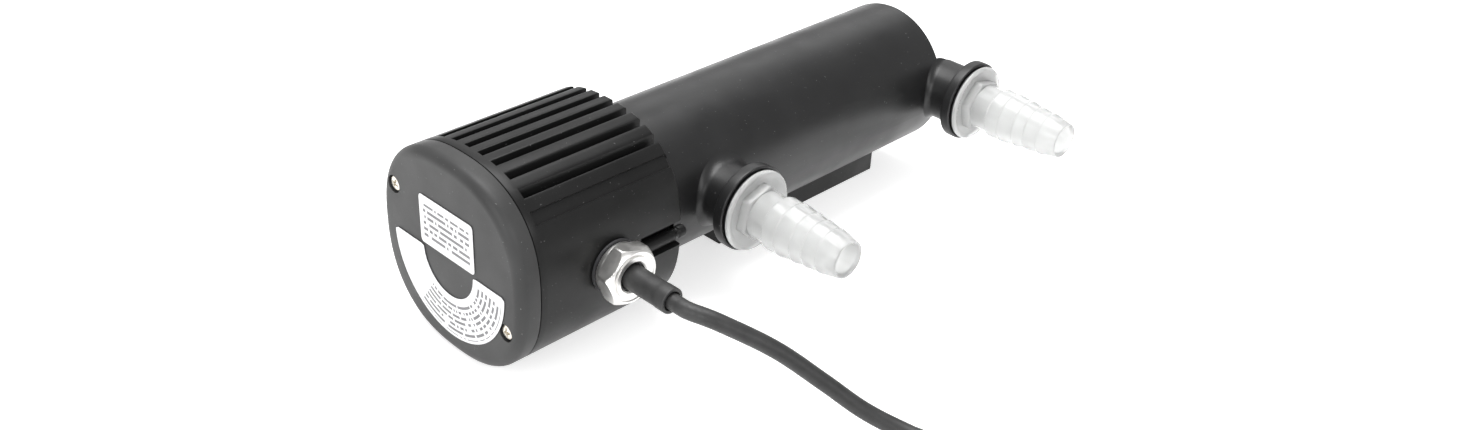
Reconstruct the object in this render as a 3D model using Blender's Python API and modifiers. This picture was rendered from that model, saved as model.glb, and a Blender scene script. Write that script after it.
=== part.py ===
"""Ultraviolet clarifier for ponds and aquariums, as separate bench-strippable pieces.

A closed black tube takes the water in and out through two hose tails. Its open end plugs into a finned
head that holds the lamp, its quartz sleeve and the ballast, and a mains cable leaves the head's side.
Units are metres, +Z is up. Every place below is measured from the centre of the tube's closed end:
X along the tube with the head at -X, the hose tails towards -Y.
"""

from math import copysign, cos, pi, sin

import bmesh
import bpy
from mathutils import Vector

MM = 0.001
GAP = 0.3 * MM  # kept between pieces that touch

# Heights and the place of the tube's end in the world: the origin is under the middle of the object.
AXIS_HEIGHT = 47.71 * MM
END_X = 134.8 * MM
END_Y = 32.42 * MM

# Tube
TUBE_RADIUS = 37.5 * MM
TUBE_BORE = 33.5 * MM
TUBE_MOUTH_X = -222.2 * MM
END_WALL = 3.0 * MM
PORT_X = {"inlet": -164.2 * MM, "outlet": 3.0 * MM}
PORT_Z = 1.0 * MM
STUB_RADIUS = 15.6 * MM
STUB_BORE = 10.5 * MM
SOCKET_BORE = 13.4 * MM
SOCKET_FLOOR_Y = 45.0 * MM
RIM_RADIUS = 21.0 * MM
RIM_BACK_Y = 50.7 * MM
RIM_FACE_Y = 56.2 * MM

# Foot under the tube
FOOT_X = (-141.9 * MM, -24.5 * MM)
FOOT_HALF_WIDTH = 14.8 * MM

# Head: a rounded outline, a little taller above its middle than below
HEAD_FRONT_X = -281.6 * MM
HEAD_REAR_X = -202.8 * MM
HEAD_MIDDLE_Z = 2.26 * MM
HEAD_HALF_WIDTH = 48.96 * MM
HEAD_TOP = 46.83 * MM
HEAD_BOTTOM = 49.97 * MM
HEAD_ROUNDNESS = 2.43
CAVITY_HALF_WIDTH = 45.5 * MM
CAVITY_TOP = 36.5 * MM
CAVITY_BOTTOM = 47.0 * MM
BULKHEAD_X = (-228.5 * MM, -225.5 * MM)
SOCKET_RADIUS = 38.1 * MM
SLOT_COUNT = 8
SLOT_PITCH = 9.0 * MM
SLOT_WIDTH = 3.6 * MM
SLOT_DEPTH = 7.5 * MM
SLOT_FRONT_X = -277.6 * MM

# End cover
COVER_X = (-293.0 * MM, -283.0 * MM)
COVER_WALL = 3.0 * MM
COVER_EDGE = 5.0 * MM
SCREW_YZ = ((38.0 * MM, 21.5 * MM), (-38.0 * MM, -17.0 * MM))
SCREW_SEAT_X = -289.2 * MM

# Cable gland, on the head's side
GLAND_X = -242.5 * MM
GLAND_Z = 0.5 * MM
NUT_FACE_Y = -62.0 * MM
NUT_RADIUS = 14.6 * MM
BOOT_END_Y = -85.5 * MM

# Lamp and sleeve, on the tube's axis
SLEEVE_RADIUS = 17.0 * MM
SLEEVE_WALL = 1.8 * MM
SLEEVE_X = (-212.0 * MM, -94.0 * MM)
LAMP_FRONT_X = -221.0 * MM
LAMP_TUBE_RADIUS = 6.0 * MM
LAMP_TUBE_Y = 7.2 * MM
LAMP_TIP_X = -112.0 * MM
BASE_REAR_X = -243.0 * MM

# Lock pin, in a pocket at the head's rear edge
PIN_Y = -45.0 * MM
PIN_Z = -1.5 * MM
PIN_RADIUS = 3.0 * MM

# Mains cable: a free run to the floor, a coil, and a short end with the plug
CABLE_RADIUS = 3.8 * MM
COIL_X = -238.3 * MM
COIL_Y = -274.8 * MM
COIL_RADIUS = 43.0 * MM
COIL_HALF_WIDTH = 12.5 * MM
COIL_HEIGHT = 31.5 * MM
OUTER_TURN = 51.0 * MM  # radius of the turns that the free cable enters and leaves
TOP_TURN_HEIGHT = 27.3 * MM
COIL_CLEARANCE = 32.0 * MM  # along the cable, from the coil's middle to where the free cable ends
PLUG_RADIUS = 18.0 * MM
PLUG_LENGTH = 24.0 * MM
PLUG_REAR_Y = -190.0 * MM
RELIEF_LENGTH = 22.0 * MM
PIN_SPACING = 19.0 * MM
PLUG_PIN_RADIUS = 2.4 * MM

ALONG_X = (0, pi / 2, 0)  # turns local +Z to +X
TOWARDS_TAILS = (pi / 2, 0, 0)  # turns local +Z to -Y
OUTLINE_ACROSS_X = (pi / 2, 0, pi / 2)  # turns a local XY outline into the YZ plane

PARTS = "uv_clarifier"
CUTTERS = "cutters"


# ---------------------------------------------------------------- scene and materials

def clear_scene():
    for item in list(bpy.data.objects):
        bpy.data.objects.remove(item, do_unlink=True)


def collection(name):
    found = bpy.data.collections.get(name) or bpy.data.collections.new(name)
    if name not in bpy.context.scene.collection.children:
        bpy.context.scene.collection.children.link(found)
    return found


def material(name, colour, roughness, metallic=0.0):
    made = bpy.data.materials.new(name)
    made.use_nodes = True
    shader = made.node_tree.nodes["Principled BSDF"]
    shader.inputs["Base Color"].default_value = (*colour, 1.0)
    shader.inputs["Roughness"].default_value = roughness
    shader.inputs["Metallic"].default_value = metallic
    return made


FINISHES = {
    "black_abs": ((0.035, 0.036, 0.038), 0.45, 0.0),
    "clear_tail": ((0.86, 0.87, 0.87), 0.25, 0.0),
    "rubber": ((0.03, 0.03, 0.03), 0.7, 0.0),
    "nickel": ((0.72, 0.72, 0.70), 0.2, 1.0),
    "steel": ((0.6, 0.6, 0.6), 0.3, 1.0),
    "label": ((0.9, 0.9, 0.9), 0.5, 0.0),
    "quartz": ((0.93, 0.95, 0.96), 0.05, 0.0),
    "lamp_base": ((0.85, 0.85, 0.82), 0.4, 0.0),
    "ballast": ((0.25, 0.25, 0.26), 0.5, 0.3),
}


def link(item, name, finish, parent=None, place=(0, 0, 0), turn=(0, 0, 0)):
    """Names an object, gives it its finish and places it under its parent."""
    item.name = name
    item.location = place
    item.rotation_euler = turn
    item.parent = parent
    if finish is None:
        item.hide_render = True
        item.display_type = "WIRE"
        collection(CUTTERS).objects.link(item)
        return item
    made = bpy.data.materials.get(finish) or material(finish, *FINISHES[finish])
    item.data.materials.clear()
    item.data.materials.append(made)
    collection(PARTS).objects.link(item)
    return item


def axis_empty(name, parent, place):
    empty = bpy.data.objects.new(name, None)
    empty.location = place
    empty.parent = parent
    empty.empty_display_size = 10 * MM
    collection(PARTS).objects.link(empty)
    return empty


# ---------------------------------------------------------------- shapes

def bmesh_object(shape):
    mesh = bpy.data.meshes.new("shape")
    shape.normal_update()
    shape.to_mesh(mesh)
    shape.free()
    return bpy.data.objects.new("shape", mesh)


def box(size, middle=(0, 0, 0)):
    shape = bmesh.new()
    bmesh.ops.create_cube(shape, size=1.0)
    bmesh.ops.scale(shape, vec=Vector(size), verts=shape.verts)
    bmesh.ops.translate(shape, vec=Vector(middle), verts=shape.verts)
    return bmesh_object(shape)


def cylinder(radius, length, segments=32, end_radius=None):
    """A cylinder or cone from z = 0 to z = length."""
    shape = bmesh.new()
    bmesh.ops.create_cone(
        shape, cap_ends=True, segments=segments, radius1=radius,
        radius2=radius if end_radius is None else end_radius, depth=length,
    )
    bmesh.ops.translate(shape, vec=Vector((0, 0, length / 2)), verts=shape.verts)
    return bmesh_object(shape)


def smooth(item, angle=0.6):
    item.data.shade_smooth()
    item.data.set_sharp_from_angle(angle=angle)
    return item


def turned(profile, segments=48):
    """A solid turned about Z. The (radius, z) profile runs down its outer side and is closed.

    A profile that starts and ends on the axis makes a full solid, and any other one a ring.
    """
    mesh = bpy.data.meshes.new("profile")
    points = [(radius, 0, z) for radius, z in profile]
    edges = [(i, i + 1) for i in range(len(points) - 1)]
    if profile[0][0] > 0:
        edges.append((len(points) - 1, 0))
    mesh.from_pydata(points, edges, [])
    item = bpy.data.objects.new("turned", mesh)
    screw = item.modifiers.new("turn", "SCREW")
    screw.angle = 2 * pi
    screw.steps = screw.render_steps = segments
    screw.use_merge_vertices = True
    screw.merge_threshold = 0.00001
    screw.use_smooth_shade = True
    return item


def round_ring(radius, section, segments=48, sides=10):
    """An O-ring about Z, turned from a circle."""
    circle = [
        (radius + section * cos(2 * pi * k / sides), -section * sin(2 * pi * k / sides))
        for k in range(sides)
    ]
    return turned(circle, segments)


def curve_mesh(curve):
    """The closed mesh of a curve object, with its caps welded on."""
    guide = bpy.data.objects.new("guide", curve)
    collection(CUTTERS).objects.link(guide)
    graph = bpy.context.evaluated_depsgraph_get()
    mesh = bpy.data.meshes.new_from_object(guide.evaluated_get(graph))
    bpy.data.objects.remove(guide, do_unlink=True)
    shape = bmesh.new()
    shape.from_mesh(mesh)
    bmesh.ops.remove_doubles(shape, verts=shape.verts, dist=0.000001)
    bmesh.ops.recalc_face_normals(shape, faces=shape.faces)
    shape.to_mesh(mesh)
    shape.free()
    return bpy.data.objects.new("outline", mesh)


def slab(outline, near, far):
    """A flat outline in (Y, Z), filled and made thick from X = near to X = far."""
    curve = bpy.data.curves.new("outline", "CURVE")
    curve.dimensions = "2D"
    curve.fill_mode = "BOTH"
    curve.extrude = (far - near) / 2
    spline = curve.splines.new("POLY")
    spline.points.add(len(outline) - 1)
    for point, (y, z) in zip(spline.points, outline):
        point.co = (y, z, 0, 1)
    spline.use_cyclic_u = True
    item = curve_mesh(curve)
    item.location = ((near + far) / 2, 0, 0)
    item.rotation_euler = OUTLINE_ACROSS_X
    return item


def tube_along(points, radius, sides=2):
    """A solid round cord through the points, with filled caps."""
    curve = bpy.data.curves.new("cord", "CURVE")
    curve.dimensions = "3D"
    curve.bevel_depth = radius
    curve.bevel_resolution = sides
    curve.use_fill_caps = True
    spline = curve.splines.new("POLY")
    spline.points.add(len(points) - 1)
    for point, place in zip(spline.points, points):
        point.co = (*place, 1)
    return bpy.data.objects.new("cord", curve)


def boolean(item, operation, tool):
    modifier = item.modifiers.new(f"{operation.lower()} {tool.name}", "BOOLEAN")
    modifier.operation = operation
    modifier.object = tool
    modifier.solver = "EXACT"


def helper(item, name, parent, place=None, turn=None):
    """Links a cutter or a union tool, keeping the place its maker gave it unless told otherwise."""
    where = item.location.copy() if place is None else place
    rotation = item.rotation_euler.copy() if turn is None else turn
    return link(item, name, None, parent, where, rotation)


def head_outline(half_width, top, bottom, points=72):
    """The head's rounded outline as (Y, Z), a superellipse whose upper and lower halves differ in height."""
    outline = []
    power = 2 / HEAD_ROUNDNESS
    for k in range(points):
        across, up = cos(2 * pi * k / points), sin(2 * pi * k / points)
        height = top if up >= 0 else bottom
        outline.append((
            half_width * copysign(abs(across) ** power, across),
            HEAD_MIDDLE_Z + height * copysign(abs(up) ** power, up),
        ))
    return outline


def inset_outline(inset, points=72):
    return head_outline(HEAD_HALF_WIDTH - inset, HEAD_TOP - inset, HEAD_BOTTOM - inset, points)


# ---------------------------------------------------------------- head

def slot_floor(y):
    """Height of a cooling slot's floor at this Y."""
    reach = 1 - (abs(y) / HEAD_HALF_WIDTH) ** HEAD_ROUNDNESS
    return HEAD_MIDDLE_Z + HEAD_TOP * reach ** (1 / HEAD_ROUNDNESS) - SLOT_DEPTH


def head_housing(frame):
    housing = slab(inset_outline(0), HEAD_FRONT_X, HEAD_REAR_X)
    place, turn = housing.location.copy(), housing.rotation_euler.copy()
    link(housing, "head_housing", "black_abs", frame, place, turn)
    cavity = slab(
        head_outline(CAVITY_HALF_WIDTH, CAVITY_TOP, CAVITY_BOTTOM), HEAD_FRONT_X - 5 * MM, BULKHEAD_X[0]
    )
    boolean(housing, "DIFFERENCE", helper(cavity, "cut_head_cavity", frame))
    for name, tool in housing_additions():
        boolean(housing, "UNION", helper(tool, name, frame))
    for name, tool in housing_cuts():
        boolean(housing, "DIFFERENCE", helper(tool, name, frame))


def placed(item, place, turn=(0, 0, 0)):
    item.location = place
    item.rotation_euler = turn
    return item


def housing_additions():
    """Screw bosses, the lampholder's posts and the ballast's rails, all inside the cavity."""
    depth = BULKHEAD_X[0] - HEAD_FRONT_X + 1 * MM
    for k, (y, z) in enumerate(SCREW_YZ):
        yield f"add_cover_boss_{k + 1}", placed(
            cylinder(4.6 * MM, depth, 20), (HEAD_FRONT_X, y, z), ALONG_X
        )
    for k, y in enumerate((-22 * MM, 22 * MM)):
        yield f"add_holder_post_{k + 1}", placed(
            cylinder(3.5 * MM, 33.7 * MM, 16), (-261.2 * MM, y, 0), ALONG_X
        )
    for k, y in enumerate((-14 * MM, 14 * MM)):
        rail = box((48 * MM, 3 * MM, 8 * MM), (-252 * MM, y, -41.0 * MM))
        yield f"add_ballast_rail_{k + 1}", rail


def housing_cuts():
    """The tube's socket, lamp passage, cooling slots, gland hole, lock pocket and screw holes."""
    yield "cut_tube_socket", placed(
        turned([(0, 30 * MM), (SOCKET_RADIUS, 30 * MM), (SOCKET_RADIUS, 0), (22 * MM, 0),
                (22 * MM, 20.3 * MM), (0, 20.3 * MM)], 64),
        (BULKHEAD_X[1], 0, 0), ALONG_X,
    )
    yield "cut_lamp_passage", placed(cylinder(18.2 * MM, 31 * MM, 40), (-233 * MM, 0, 0), ALONG_X)
    for k in range(SLOT_COUNT):
        y = (k - (SLOT_COUNT - 1) / 2) * SLOT_PITCH
        floor = slot_floor(y)
        length = HEAD_REAR_X - SLOT_FRONT_X + 10 * MM
        yield f"cut_slot_{k + 1}", box(
            (length, SLOT_WIDTH, 40 * MM), (SLOT_FRONT_X + length / 2, y, floor + 20 * MM)
        )
    yield "cut_gland_hole", placed(
        cylinder(10 * MM, 20 * MM, 32), (GLAND_X, -35 * MM, GLAND_Z), TOWARDS_TAILS
    )
    yield "cut_pocket_front", box((6 * MM, 15 * MM, 13.5 * MM), (-224 * MM, -49 * MM, 0.25 * MM))
    yield "cut_pocket_rear", box((20 * MM, 15 * MM, 13.5 * MM), (-206.3 * MM, -49 * MM, 0.25 * MM))
    yield "cut_pin_hole", placed(cylinder(PIN_RADIUS + GAP, 12 * MM, 20), (-224 * MM, PIN_Y, PIN_Z), ALONG_X)
    for k, (y, z) in enumerate(SCREW_YZ):
        yield f"cut_screw_hole_{k + 1}", placed(
            cylinder(2.0 * MM, 18 * MM, 16), (HEAD_FRONT_X - 1 * MM, y, z), ALONG_X
        )
    for k, y in enumerate((-22 * MM, 22 * MM)):
        yield f"cut_post_hole_{k + 1}", placed(
            cylinder(1.5 * MM, 11 * MM, 12), (-262 * MM, y, 0), ALONG_X
        )


def end_cover(frame):
    """A shallow pan with a rounded front edge, and two screw posts inside."""
    front, back = COVER_X
    rings = [(COVER_WALL, front + COVER_WALL), (COVER_WALL, back), (0, back)]
    for k in range(6):
        angle = k * pi / 10
        rings.append((COVER_EDGE * (1 - cos(angle)), front + COVER_EDGE * (1 - sin(angle))))
    cover = link(lofted_outline(rings), "end_cover", "black_abs", frame)
    for k, (y, z) in enumerate(SCREW_YZ):
        post = placed(cylinder(5.6 * MM, COVER_X[1] - COVER_X[0] - 2 * MM, 20),
                      (COVER_X[0] + 2 * MM, y, z), ALONG_X)
        boolean(cover, "UNION", helper(post, f"add_cover_post_{k + 1}", frame))
    for k, (y, z) in enumerate(SCREW_YZ):
        pocket = placed(cylinder(4.2 * MM, 12 * MM, 20), (SCREW_SEAT_X - 12 * MM, y, z), ALONG_X)
        boolean(cover, "DIFFERENCE", helper(pocket, f"cut_cover_pocket_{k + 1}", frame))
        hole = placed(cylinder(2.0 * MM, 20 * MM, 16), (SCREW_SEAT_X - 2 * MM, y, z), ALONG_X)
        boolean(cover, "DIFFERENCE", helper(hole, f"cut_cover_hole_{k + 1}", frame))


def lofted_outline(rings):
    """A closed surface through copies of the head's outline, each (inset, x), with a flat cap at both ends."""
    shape = bmesh.new()
    loops = []
    for inset, x in rings:
        loops.append([shape.verts.new((x, y, z)) for y, z in inset_outline(inset)])
    for near, far in zip(loops, loops[1:]):
        for k in range(len(near)):
            shape.faces.new((near[k - 1], near[k], far[k], far[k - 1]))
    shape.faces.new(loops[0])
    shape.faces.new(loops[-1][::-1])
    bmesh.ops.recalc_face_normals(shape, faces=shape.faces)
    return bmesh_object(shape)


def outline_ring(outer_inset, inner_inset, near, far):
    """A flat ring that follows the head's outline, as two stacked outlines in one filled curve."""
    curve = bpy.data.curves.new("ring", "CURVE")
    curve.dimensions = "2D"
    curve.fill_mode = "BOTH"
    curve.extrude = (far - near) / 2
    for inset in (outer_inset, inner_inset):
        outline = inset_outline(inset)
        spline = curve.splines.new("POLY")
        spline.points.add(len(outline) - 1)
        for point, (y, z) in zip(spline.points, outline):
            point.co = (y, z, 0, 1)
        spline.use_cyclic_u = True
    item = curve_mesh(curve)
    return placed(item, ((near + far) / 2, 0, 0), OUTLINE_ACROSS_X)


def pan_screw(head_radius, head_height, shank_radius, length):
    """A pan-head screw along +Z with its underside at z = 0, turned in one piece."""
    return turned([
        (0, length), (shank_radius * 0.6, length), (shank_radius, length - 2 * MM), (shank_radius, 0),
        (head_radius, 0), (head_radius, -head_height * 0.5), (head_radius * 0.75, -head_height),
        (0, -head_height),
    ], 16)


def head_fittings(frame):
    gasket = outline_ring(0.9 * MM, 2.5 * MM, COVER_X[1] + GAP, HEAD_FRONT_X - GAP)
    link(gasket, "cover_gasket", "rubber", frame, gasket.location.copy(), OUTLINE_ACROSS_X)
    for k, (y, z) in enumerate(SCREW_YZ):
        screw = pan_screw(3.4 * MM, 2.2 * MM, 1.65 * MM, 16 * MM)
        link(screw, f"cover_screw_{k + 1}", "steel", frame, (SCREW_SEAT_X - GAP, y, z), ALONG_X)
    labels(frame)
    ballast(frame)
    lampholder(frame)
    for k, y in enumerate((-22 * MM, 22 * MM)):
        screw = pan_screw(2.6 * MM, 1.8 * MM, 1.2 * MM, 9 * MM)
        link(screw, f"lampholder_screw_{k + 1}", "steel", frame, (-264.8 * MM, y, 0), ALONG_X)


def rounded_rectangle(width, height, radius, middle, steps=4):
    points = []
    for k, (sign_y, sign_z) in enumerate(((1, 1), (-1, 1), (-1, -1), (1, -1))):
        corner_y = middle[0] + sign_y * (width / 2 - radius)
        corner_z = middle[1] + sign_z * (height / 2 - radius)
        for step in range(steps + 1):
            angle = (k + step / steps) * pi / 2
            points.append((corner_y + radius * cos(angle), corner_z + radius * sin(angle)))
    return points


def half_ring(inner, outer, middle, steps=20):
    """The lower half of a flat ring, as an outline."""
    arcs = [[], []]
    for arc, radius in zip(arcs, (outer, inner)):
        for step in range(steps + 1):
            angle = pi + pi * step / steps
            arc.append((middle[0] + radius * cos(angle), middle[1] + radius * sin(angle)))
    return arcs[0] + arcs[1][::-1]


def labels(frame):
    face = COVER_X[0] - GAP
    rating = slab(rounded_rectangle(37.5 * MM, 24 * MM, 2 * MM, (0, 14.2 * MM)), face - GAP, face)
    link(rating, "rating_label", "label", frame, rating.location.copy(), OUTLINE_ACROSS_X)
    notice = slab(half_ring(17.5 * MM, 38.5 * MM, (0, 0.4 * MM)), face - GAP, face)
    link(notice, "notice_label", "label", frame, notice.location.copy(), OUTLINE_ACROSS_X)


def ballast(frame):
    """The lamp's ballast on its rails, and the terminal block on the bulkhead."""
    body = box((46 * MM, 52 * MM, 19 * MM), (-252 * MM, 0, -27.2 * MM))
    link(body, "ballast", "ballast", frame)
    edge = body.modifiers.new("edges", "BEVEL")
    edge.width = 1.5 * MM
    edge.segments = 2
    block = box((14 * MM, 30 * MM, 11 * MM), (BULKHEAD_X[0] - GAP - 7 * MM, 0, 25 * MM))
    link(block, "terminal_block", "lamp_base", frame)
    for k in range(3):
        way = placed(cylinder(2.2 * MM, 9 * MM, 12), (-242 * MM - 5 * MM, (k - 1) * 9 * MM, 25 * MM), ALONG_X)
        boolean(block, "DIFFERENCE", helper(way, f"cut_terminal_way_{k + 1}", frame))


def lampholder(frame):
    """A two-pin holder whose foot is screwed to the head's posts."""
    holder = box((17.7 * MM, 36 * MM, 19 * MM), (-252.45 * MM, 0, 0))
    link(holder, "lampholder", "lamp_base", frame)
    foot = box((3 * MM, 54 * MM, 12 * MM), (-263 * MM, 0, 0))
    bridge = box((4 * MM, 30 * MM, 12 * MM), (-261.5 * MM + 0.1 * MM, 0, 0))
    boolean(holder, "UNION", helper(foot, "add_holder_foot", frame))
    boolean(holder, "UNION", helper(bridge, "add_holder_bridge", frame))
    for k, y in enumerate((-22 * MM, 22 * MM)):
        hole = placed(cylinder(1.5 * MM, 8 * MM, 12), (-267 * MM, y, 0), ALONG_X)
        boolean(holder, "DIFFERENCE", helper(hole, f"cut_holder_hole_{k + 1}", frame))
    for k, y in enumerate((-11.5 * MM, 11.5 * MM)):
        socket = placed(cylinder(1.7 * MM, 12 * MM, 12), (-253.6 * MM, y, 0), ALONG_X)
        boolean(holder, "DIFFERENCE", helper(socket, f"cut_pin_socket_{k + 1}", frame))


# ---------------------------------------------------------------- lamp and sleeve

def lamp(axis):
    """The twin-tube lamp with its base, on a guide at the axis that it pulls out along."""
    start = axis.location.x
    lamp_glass(axis)
    base = box((LAMP_FRONT_X - BASE_REAR_X, 31 * MM, 13.6 * MM),
               ((LAMP_FRONT_X + BASE_REAR_X) / 2 - start, 0, 0))
    link(base, "lamp_base", "lamp_base", axis)
    edge = base.modifiers.new("edges", "BEVEL")
    edge.width = 2 * MM
    edge.segments = 2
    for k, y in enumerate((-11.5 * MM, 11.5 * MM)):
        pin = smooth(cylinder(1.2 * MM, 7 * MM, 12))
        place = (BASE_REAR_X - GAP - 7 * MM - start, y, 0)
        link(pin, f"lamp_pin_{k + 1}", "nickel", axis, place, ALONG_X)


def lamp_glass(axis):
    """Two parallel glass tubes with domed tips, joined by a short bridge near the tips."""
    start = LAMP_FRONT_X + GAP - axis.location.x
    length = LAMP_TIP_X - LAMP_FRONT_X - GAP
    dome = [
        (LAMP_TUBE_RADIUS * sin(a), length - LAMP_TUBE_RADIUS * (1 - cos(a)))
        for a in (k * pi / 8 for k in range(5))
    ]
    profile = dome + [(LAMP_TUBE_RADIUS, 0), (0, 0)]
    glass = turned(profile, 20)
    link(glass, "lamp_tubes", "quartz", axis, (start, -LAMP_TUBE_Y, 0), ALONG_X)
    other = placed(turned(profile, 20), (start, LAMP_TUBE_Y, 0), ALONG_X)
    bridge = placed(cylinder(3 * MM, 2 * LAMP_TUBE_Y, 12), (start + length - 12 * MM, LAMP_TUBE_Y, 0),
                    TOWARDS_TAILS)
    boolean(glass, "UNION", helper(bridge, "add_lamp_bridge", axis))
    boolean(glass, "UNION", helper(other, "add_lamp_second_tube", axis))


def quartz_sleeve(frame):
    """A test-tube shaped sleeve, open towards the head."""
    length = SLEEVE_X[1] - SLEEVE_X[0]
    inner = SLEEVE_RADIUS - SLEEVE_WALL
    angles = [k * pi / 12 for k in range(7)]
    outside = [(SLEEVE_RADIUS * sin(a), length - SLEEVE_RADIUS * (1 - cos(a))) for a in angles]
    inside = [
        (inner * sin(a), length - SLEEVE_WALL - inner * (1 - cos(a))) for a in reversed(angles)
    ]
    sleeve = turned(outside + [(SLEEVE_RADIUS, 0), (inner, 0)] + inside, 36)
    link(sleeve, "quartz_sleeve", "quartz", frame, (SLEEVE_X[0], 0, 0), ALONG_X)
    seal = round_ring(18.65 * MM, 1.3 * MM, 36, 6)
    link(seal, "sleeve_o_ring", "rubber", frame, (-203.2 * MM, 0, 0), ALONG_X)
    nut = turned([
        (25.5 * MM, 17 * MM), (25.5 * MM, 0), (22.4 * MM, 0), (22.4 * MM, 15 * MM), (17.5 * MM, 15 * MM),
        (17.5 * MM, 17 * MM),
    ], 40)
    link(nut, "sleeve_nut", "black_abs", frame, (-216.5 * MM, 0, 0), ALONG_X)


# ---------------------------------------------------------------- tube, ports and tails

def tube_body(axis):
    """The tube with its closed end, both port stubs with their rims, and the O-ring groove."""
    start = axis.location.x
    length = -TUBE_MOUTH_X
    groove = 10 * MM
    profile = [
        (0, length), (TUBE_RADIUS - 0.8 * MM, length), (TUBE_RADIUS, length - 0.8 * MM),
        (TUBE_RADIUS, groove + 2.8 * MM), (35.4 * MM, groove + 2.8 * MM), (35.4 * MM, groove),
        (TUBE_RADIUS, groove), (TUBE_RADIUS, 0), (0, 0),
    ]
    body = turned(profile, 64)
    link(body, "tube_body", "black_abs", axis, (TUBE_MOUTH_X - start, 0, 0), ALONG_X)
    for name, x in PORT_X.items():
        place = (x - start, 0, PORT_Z)
        boolean(body, "UNION", helper(port_stub(name), f"add_{name}_stub", axis, place, TOWARDS_TAILS))
    hollow = cylinder(TUBE_BORE, length - END_WALL + 5 * MM, 56)
    cutter = helper(hollow, "cut_tube_bore", axis, (TUBE_MOUTH_X - start - 5 * MM, 0, 0), ALONG_X)
    cutter.rotation_euler.rotate_axis("Z", 0.03)
    for name, x in PORT_X.items():
        place = (x - start, 0, PORT_Z)
        boolean(cutter, "UNION", helper(port_bore(), f"cut_{name}_bore", axis, place, TOWARDS_TAILS))
    boolean(body, "DIFFERENCE", cutter)


def port_stub(name):
    """A port's outer shape along +Z from the tube's middle: a root, the stub and its round rim.

    The outlet's root is a plain boss, because half of it stands out past the closed end.
    """
    root = {"inlet": (19 * MM, 30 * MM), "outlet": (13 * MM, 33 * MM)}[name]
    shoulder = {"inlet": 39 * MM, "outlet": 34.5 * MM}[name]
    return turned([
        (0, RIM_FACE_Y), (RIM_RADIUS - 0.6 * MM, RIM_FACE_Y), (RIM_RADIUS, RIM_FACE_Y - 0.6 * MM),
        (RIM_RADIUS, RIM_BACK_Y), (STUB_RADIUS, RIM_BACK_Y), (STUB_RADIUS, shoulder), root,
        (root[0], 8 * MM), (root[0] - 3 * MM, 5 * MM), (0, 5 * MM),
    ], 40)


def port_bore():
    """The hole through a port: a wide socket for the tail's spigot, then the waterway."""
    return turned([
        (0, 62 * MM), (SOCKET_BORE, 62 * MM), (SOCKET_BORE, SOCKET_FLOOR_Y), (STUB_BORE, SOCKET_FLOOR_Y),
        (STUB_BORE, 10 * MM), (0, 10 * MM),
    ], 40)


def foot(axis):
    """A solid bar welded under the tube, hollowed on top to the tube's round."""
    bar_height = 22 * MM
    middle_x = (FOOT_X[0] + FOOT_X[1]) / 2 - axis.location.x
    bar = box((FOOT_X[1] - FOOT_X[0], 2 * FOOT_HALF_WIDTH, bar_height),
              (middle_x, 0, -AXIS_HEIGHT + bar_height / 2))
    link(bar, "mounting_foot", "black_abs", axis)
    saddle = placed(cylinder(TUBE_RADIUS + GAP, 140 * MM, 64), (middle_x - 70 * MM, 0, 0), ALONG_X)
    boolean(bar, "DIFFERENCE", helper(saddle, "cut_foot_saddle", axis))


def hose_tail(name, axis):
    """A stepped hose tail along +Z from the port's middle: spigot, flange, hexagon and five barbs."""
    flange = 57.6 * MM
    outside = [
        (9.0, 113.8), (11.1, 104.2), (10.6, 103.4), (11.8, 96.6), (11.0, 95.8), (12.5, 90.2), (11.9, 89.4),
        (13.3, 81.8), (12.7, 80.8), (13.3, 73.6), (11.7, 72.8), (11.7, 58.9), (17.0, 58.9), (18.6, 59.7),
        (19.85, 59.0), (19.85, 57.6), (13.0, 57.6), (13.0, 46.2),
    ]
    inside = [(9.5, 46.2), (9.5, 70.0), (7.3, 112.0), (8.3, 113.8)]
    tail = turned([(r * MM, z * MM) for r, z in outside + inside], 30)
    link(tail, f"{name}_tail", "clear_tail", axis, (0, 0, 0), TOWARDS_TAILS)
    collar = cylinder(14.4 * MM, 5 * MM, 6)
    boolean(tail, "UNION", helper(collar, f"add_{name}_hexagon", axis, (0, -58.6 * MM, 0), TOWARDS_TAILS))
    bore = cylinder(9.7 * MM, 7 * MM, 30)
    boolean(tail, "DIFFERENCE", helper(bore, f"cut_{name}_tail", axis, (0, -57.6 * MM, 0), TOWARDS_TAILS))
    seal = turned([
        (19 * MM, flange - GAP), (19 * MM, RIM_FACE_Y + GAP), (14 * MM, RIM_FACE_Y + GAP),
        (14 * MM, flange - GAP),
    ], 30)
    link(seal, f"{name}_gasket", "rubber", axis, (0, 0, 0), TOWARDS_TAILS)


def tube_seals(axis):
    start = axis.location.x
    ring = round_ring(36.65 * MM, 0.95 * MM, 48, 6)
    link(ring, "tube_o_ring", "rubber", axis, (TUBE_MOUTH_X + 11.4 * MM - start, 0, 0), ALONG_X)


def bayonet_ring(axis):
    """The ring at the socket's floor that the tube's mouth engages and turns."""
    start = axis.location.x
    ring = turned([
        (37.6 * MM, 2.7 * MM), (37.6 * MM, 0), (29 * MM, 0), (29 * MM, 2.7 * MM),
    ], 48)
    link(ring, "bayonet_ring", "steel", axis, (BULKHEAD_X[1] + GAP - start, 0, 0), ALONG_X)


def lock_pin(axis):
    """The sprung pin in the head's pocket, with a ribbed grip at its free end."""
    pin = turned([
        (0, 26 * MM), (2.6 * MM, 26 * MM), (PIN_RADIUS, 25.4 * MM), (PIN_RADIUS, 22 * MM),
        (2.5 * MM, 21.4 * MM), (2.5 * MM, 20 * MM), (PIN_RADIUS, 19.4 * MM), (PIN_RADIUS, 0), (0, 0),
    ], 20)
    link(pin, "lock_pin", "black_abs", axis, (0, 0, 0), ALONG_X)


# ---------------------------------------------------------------- gland and cable

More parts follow.
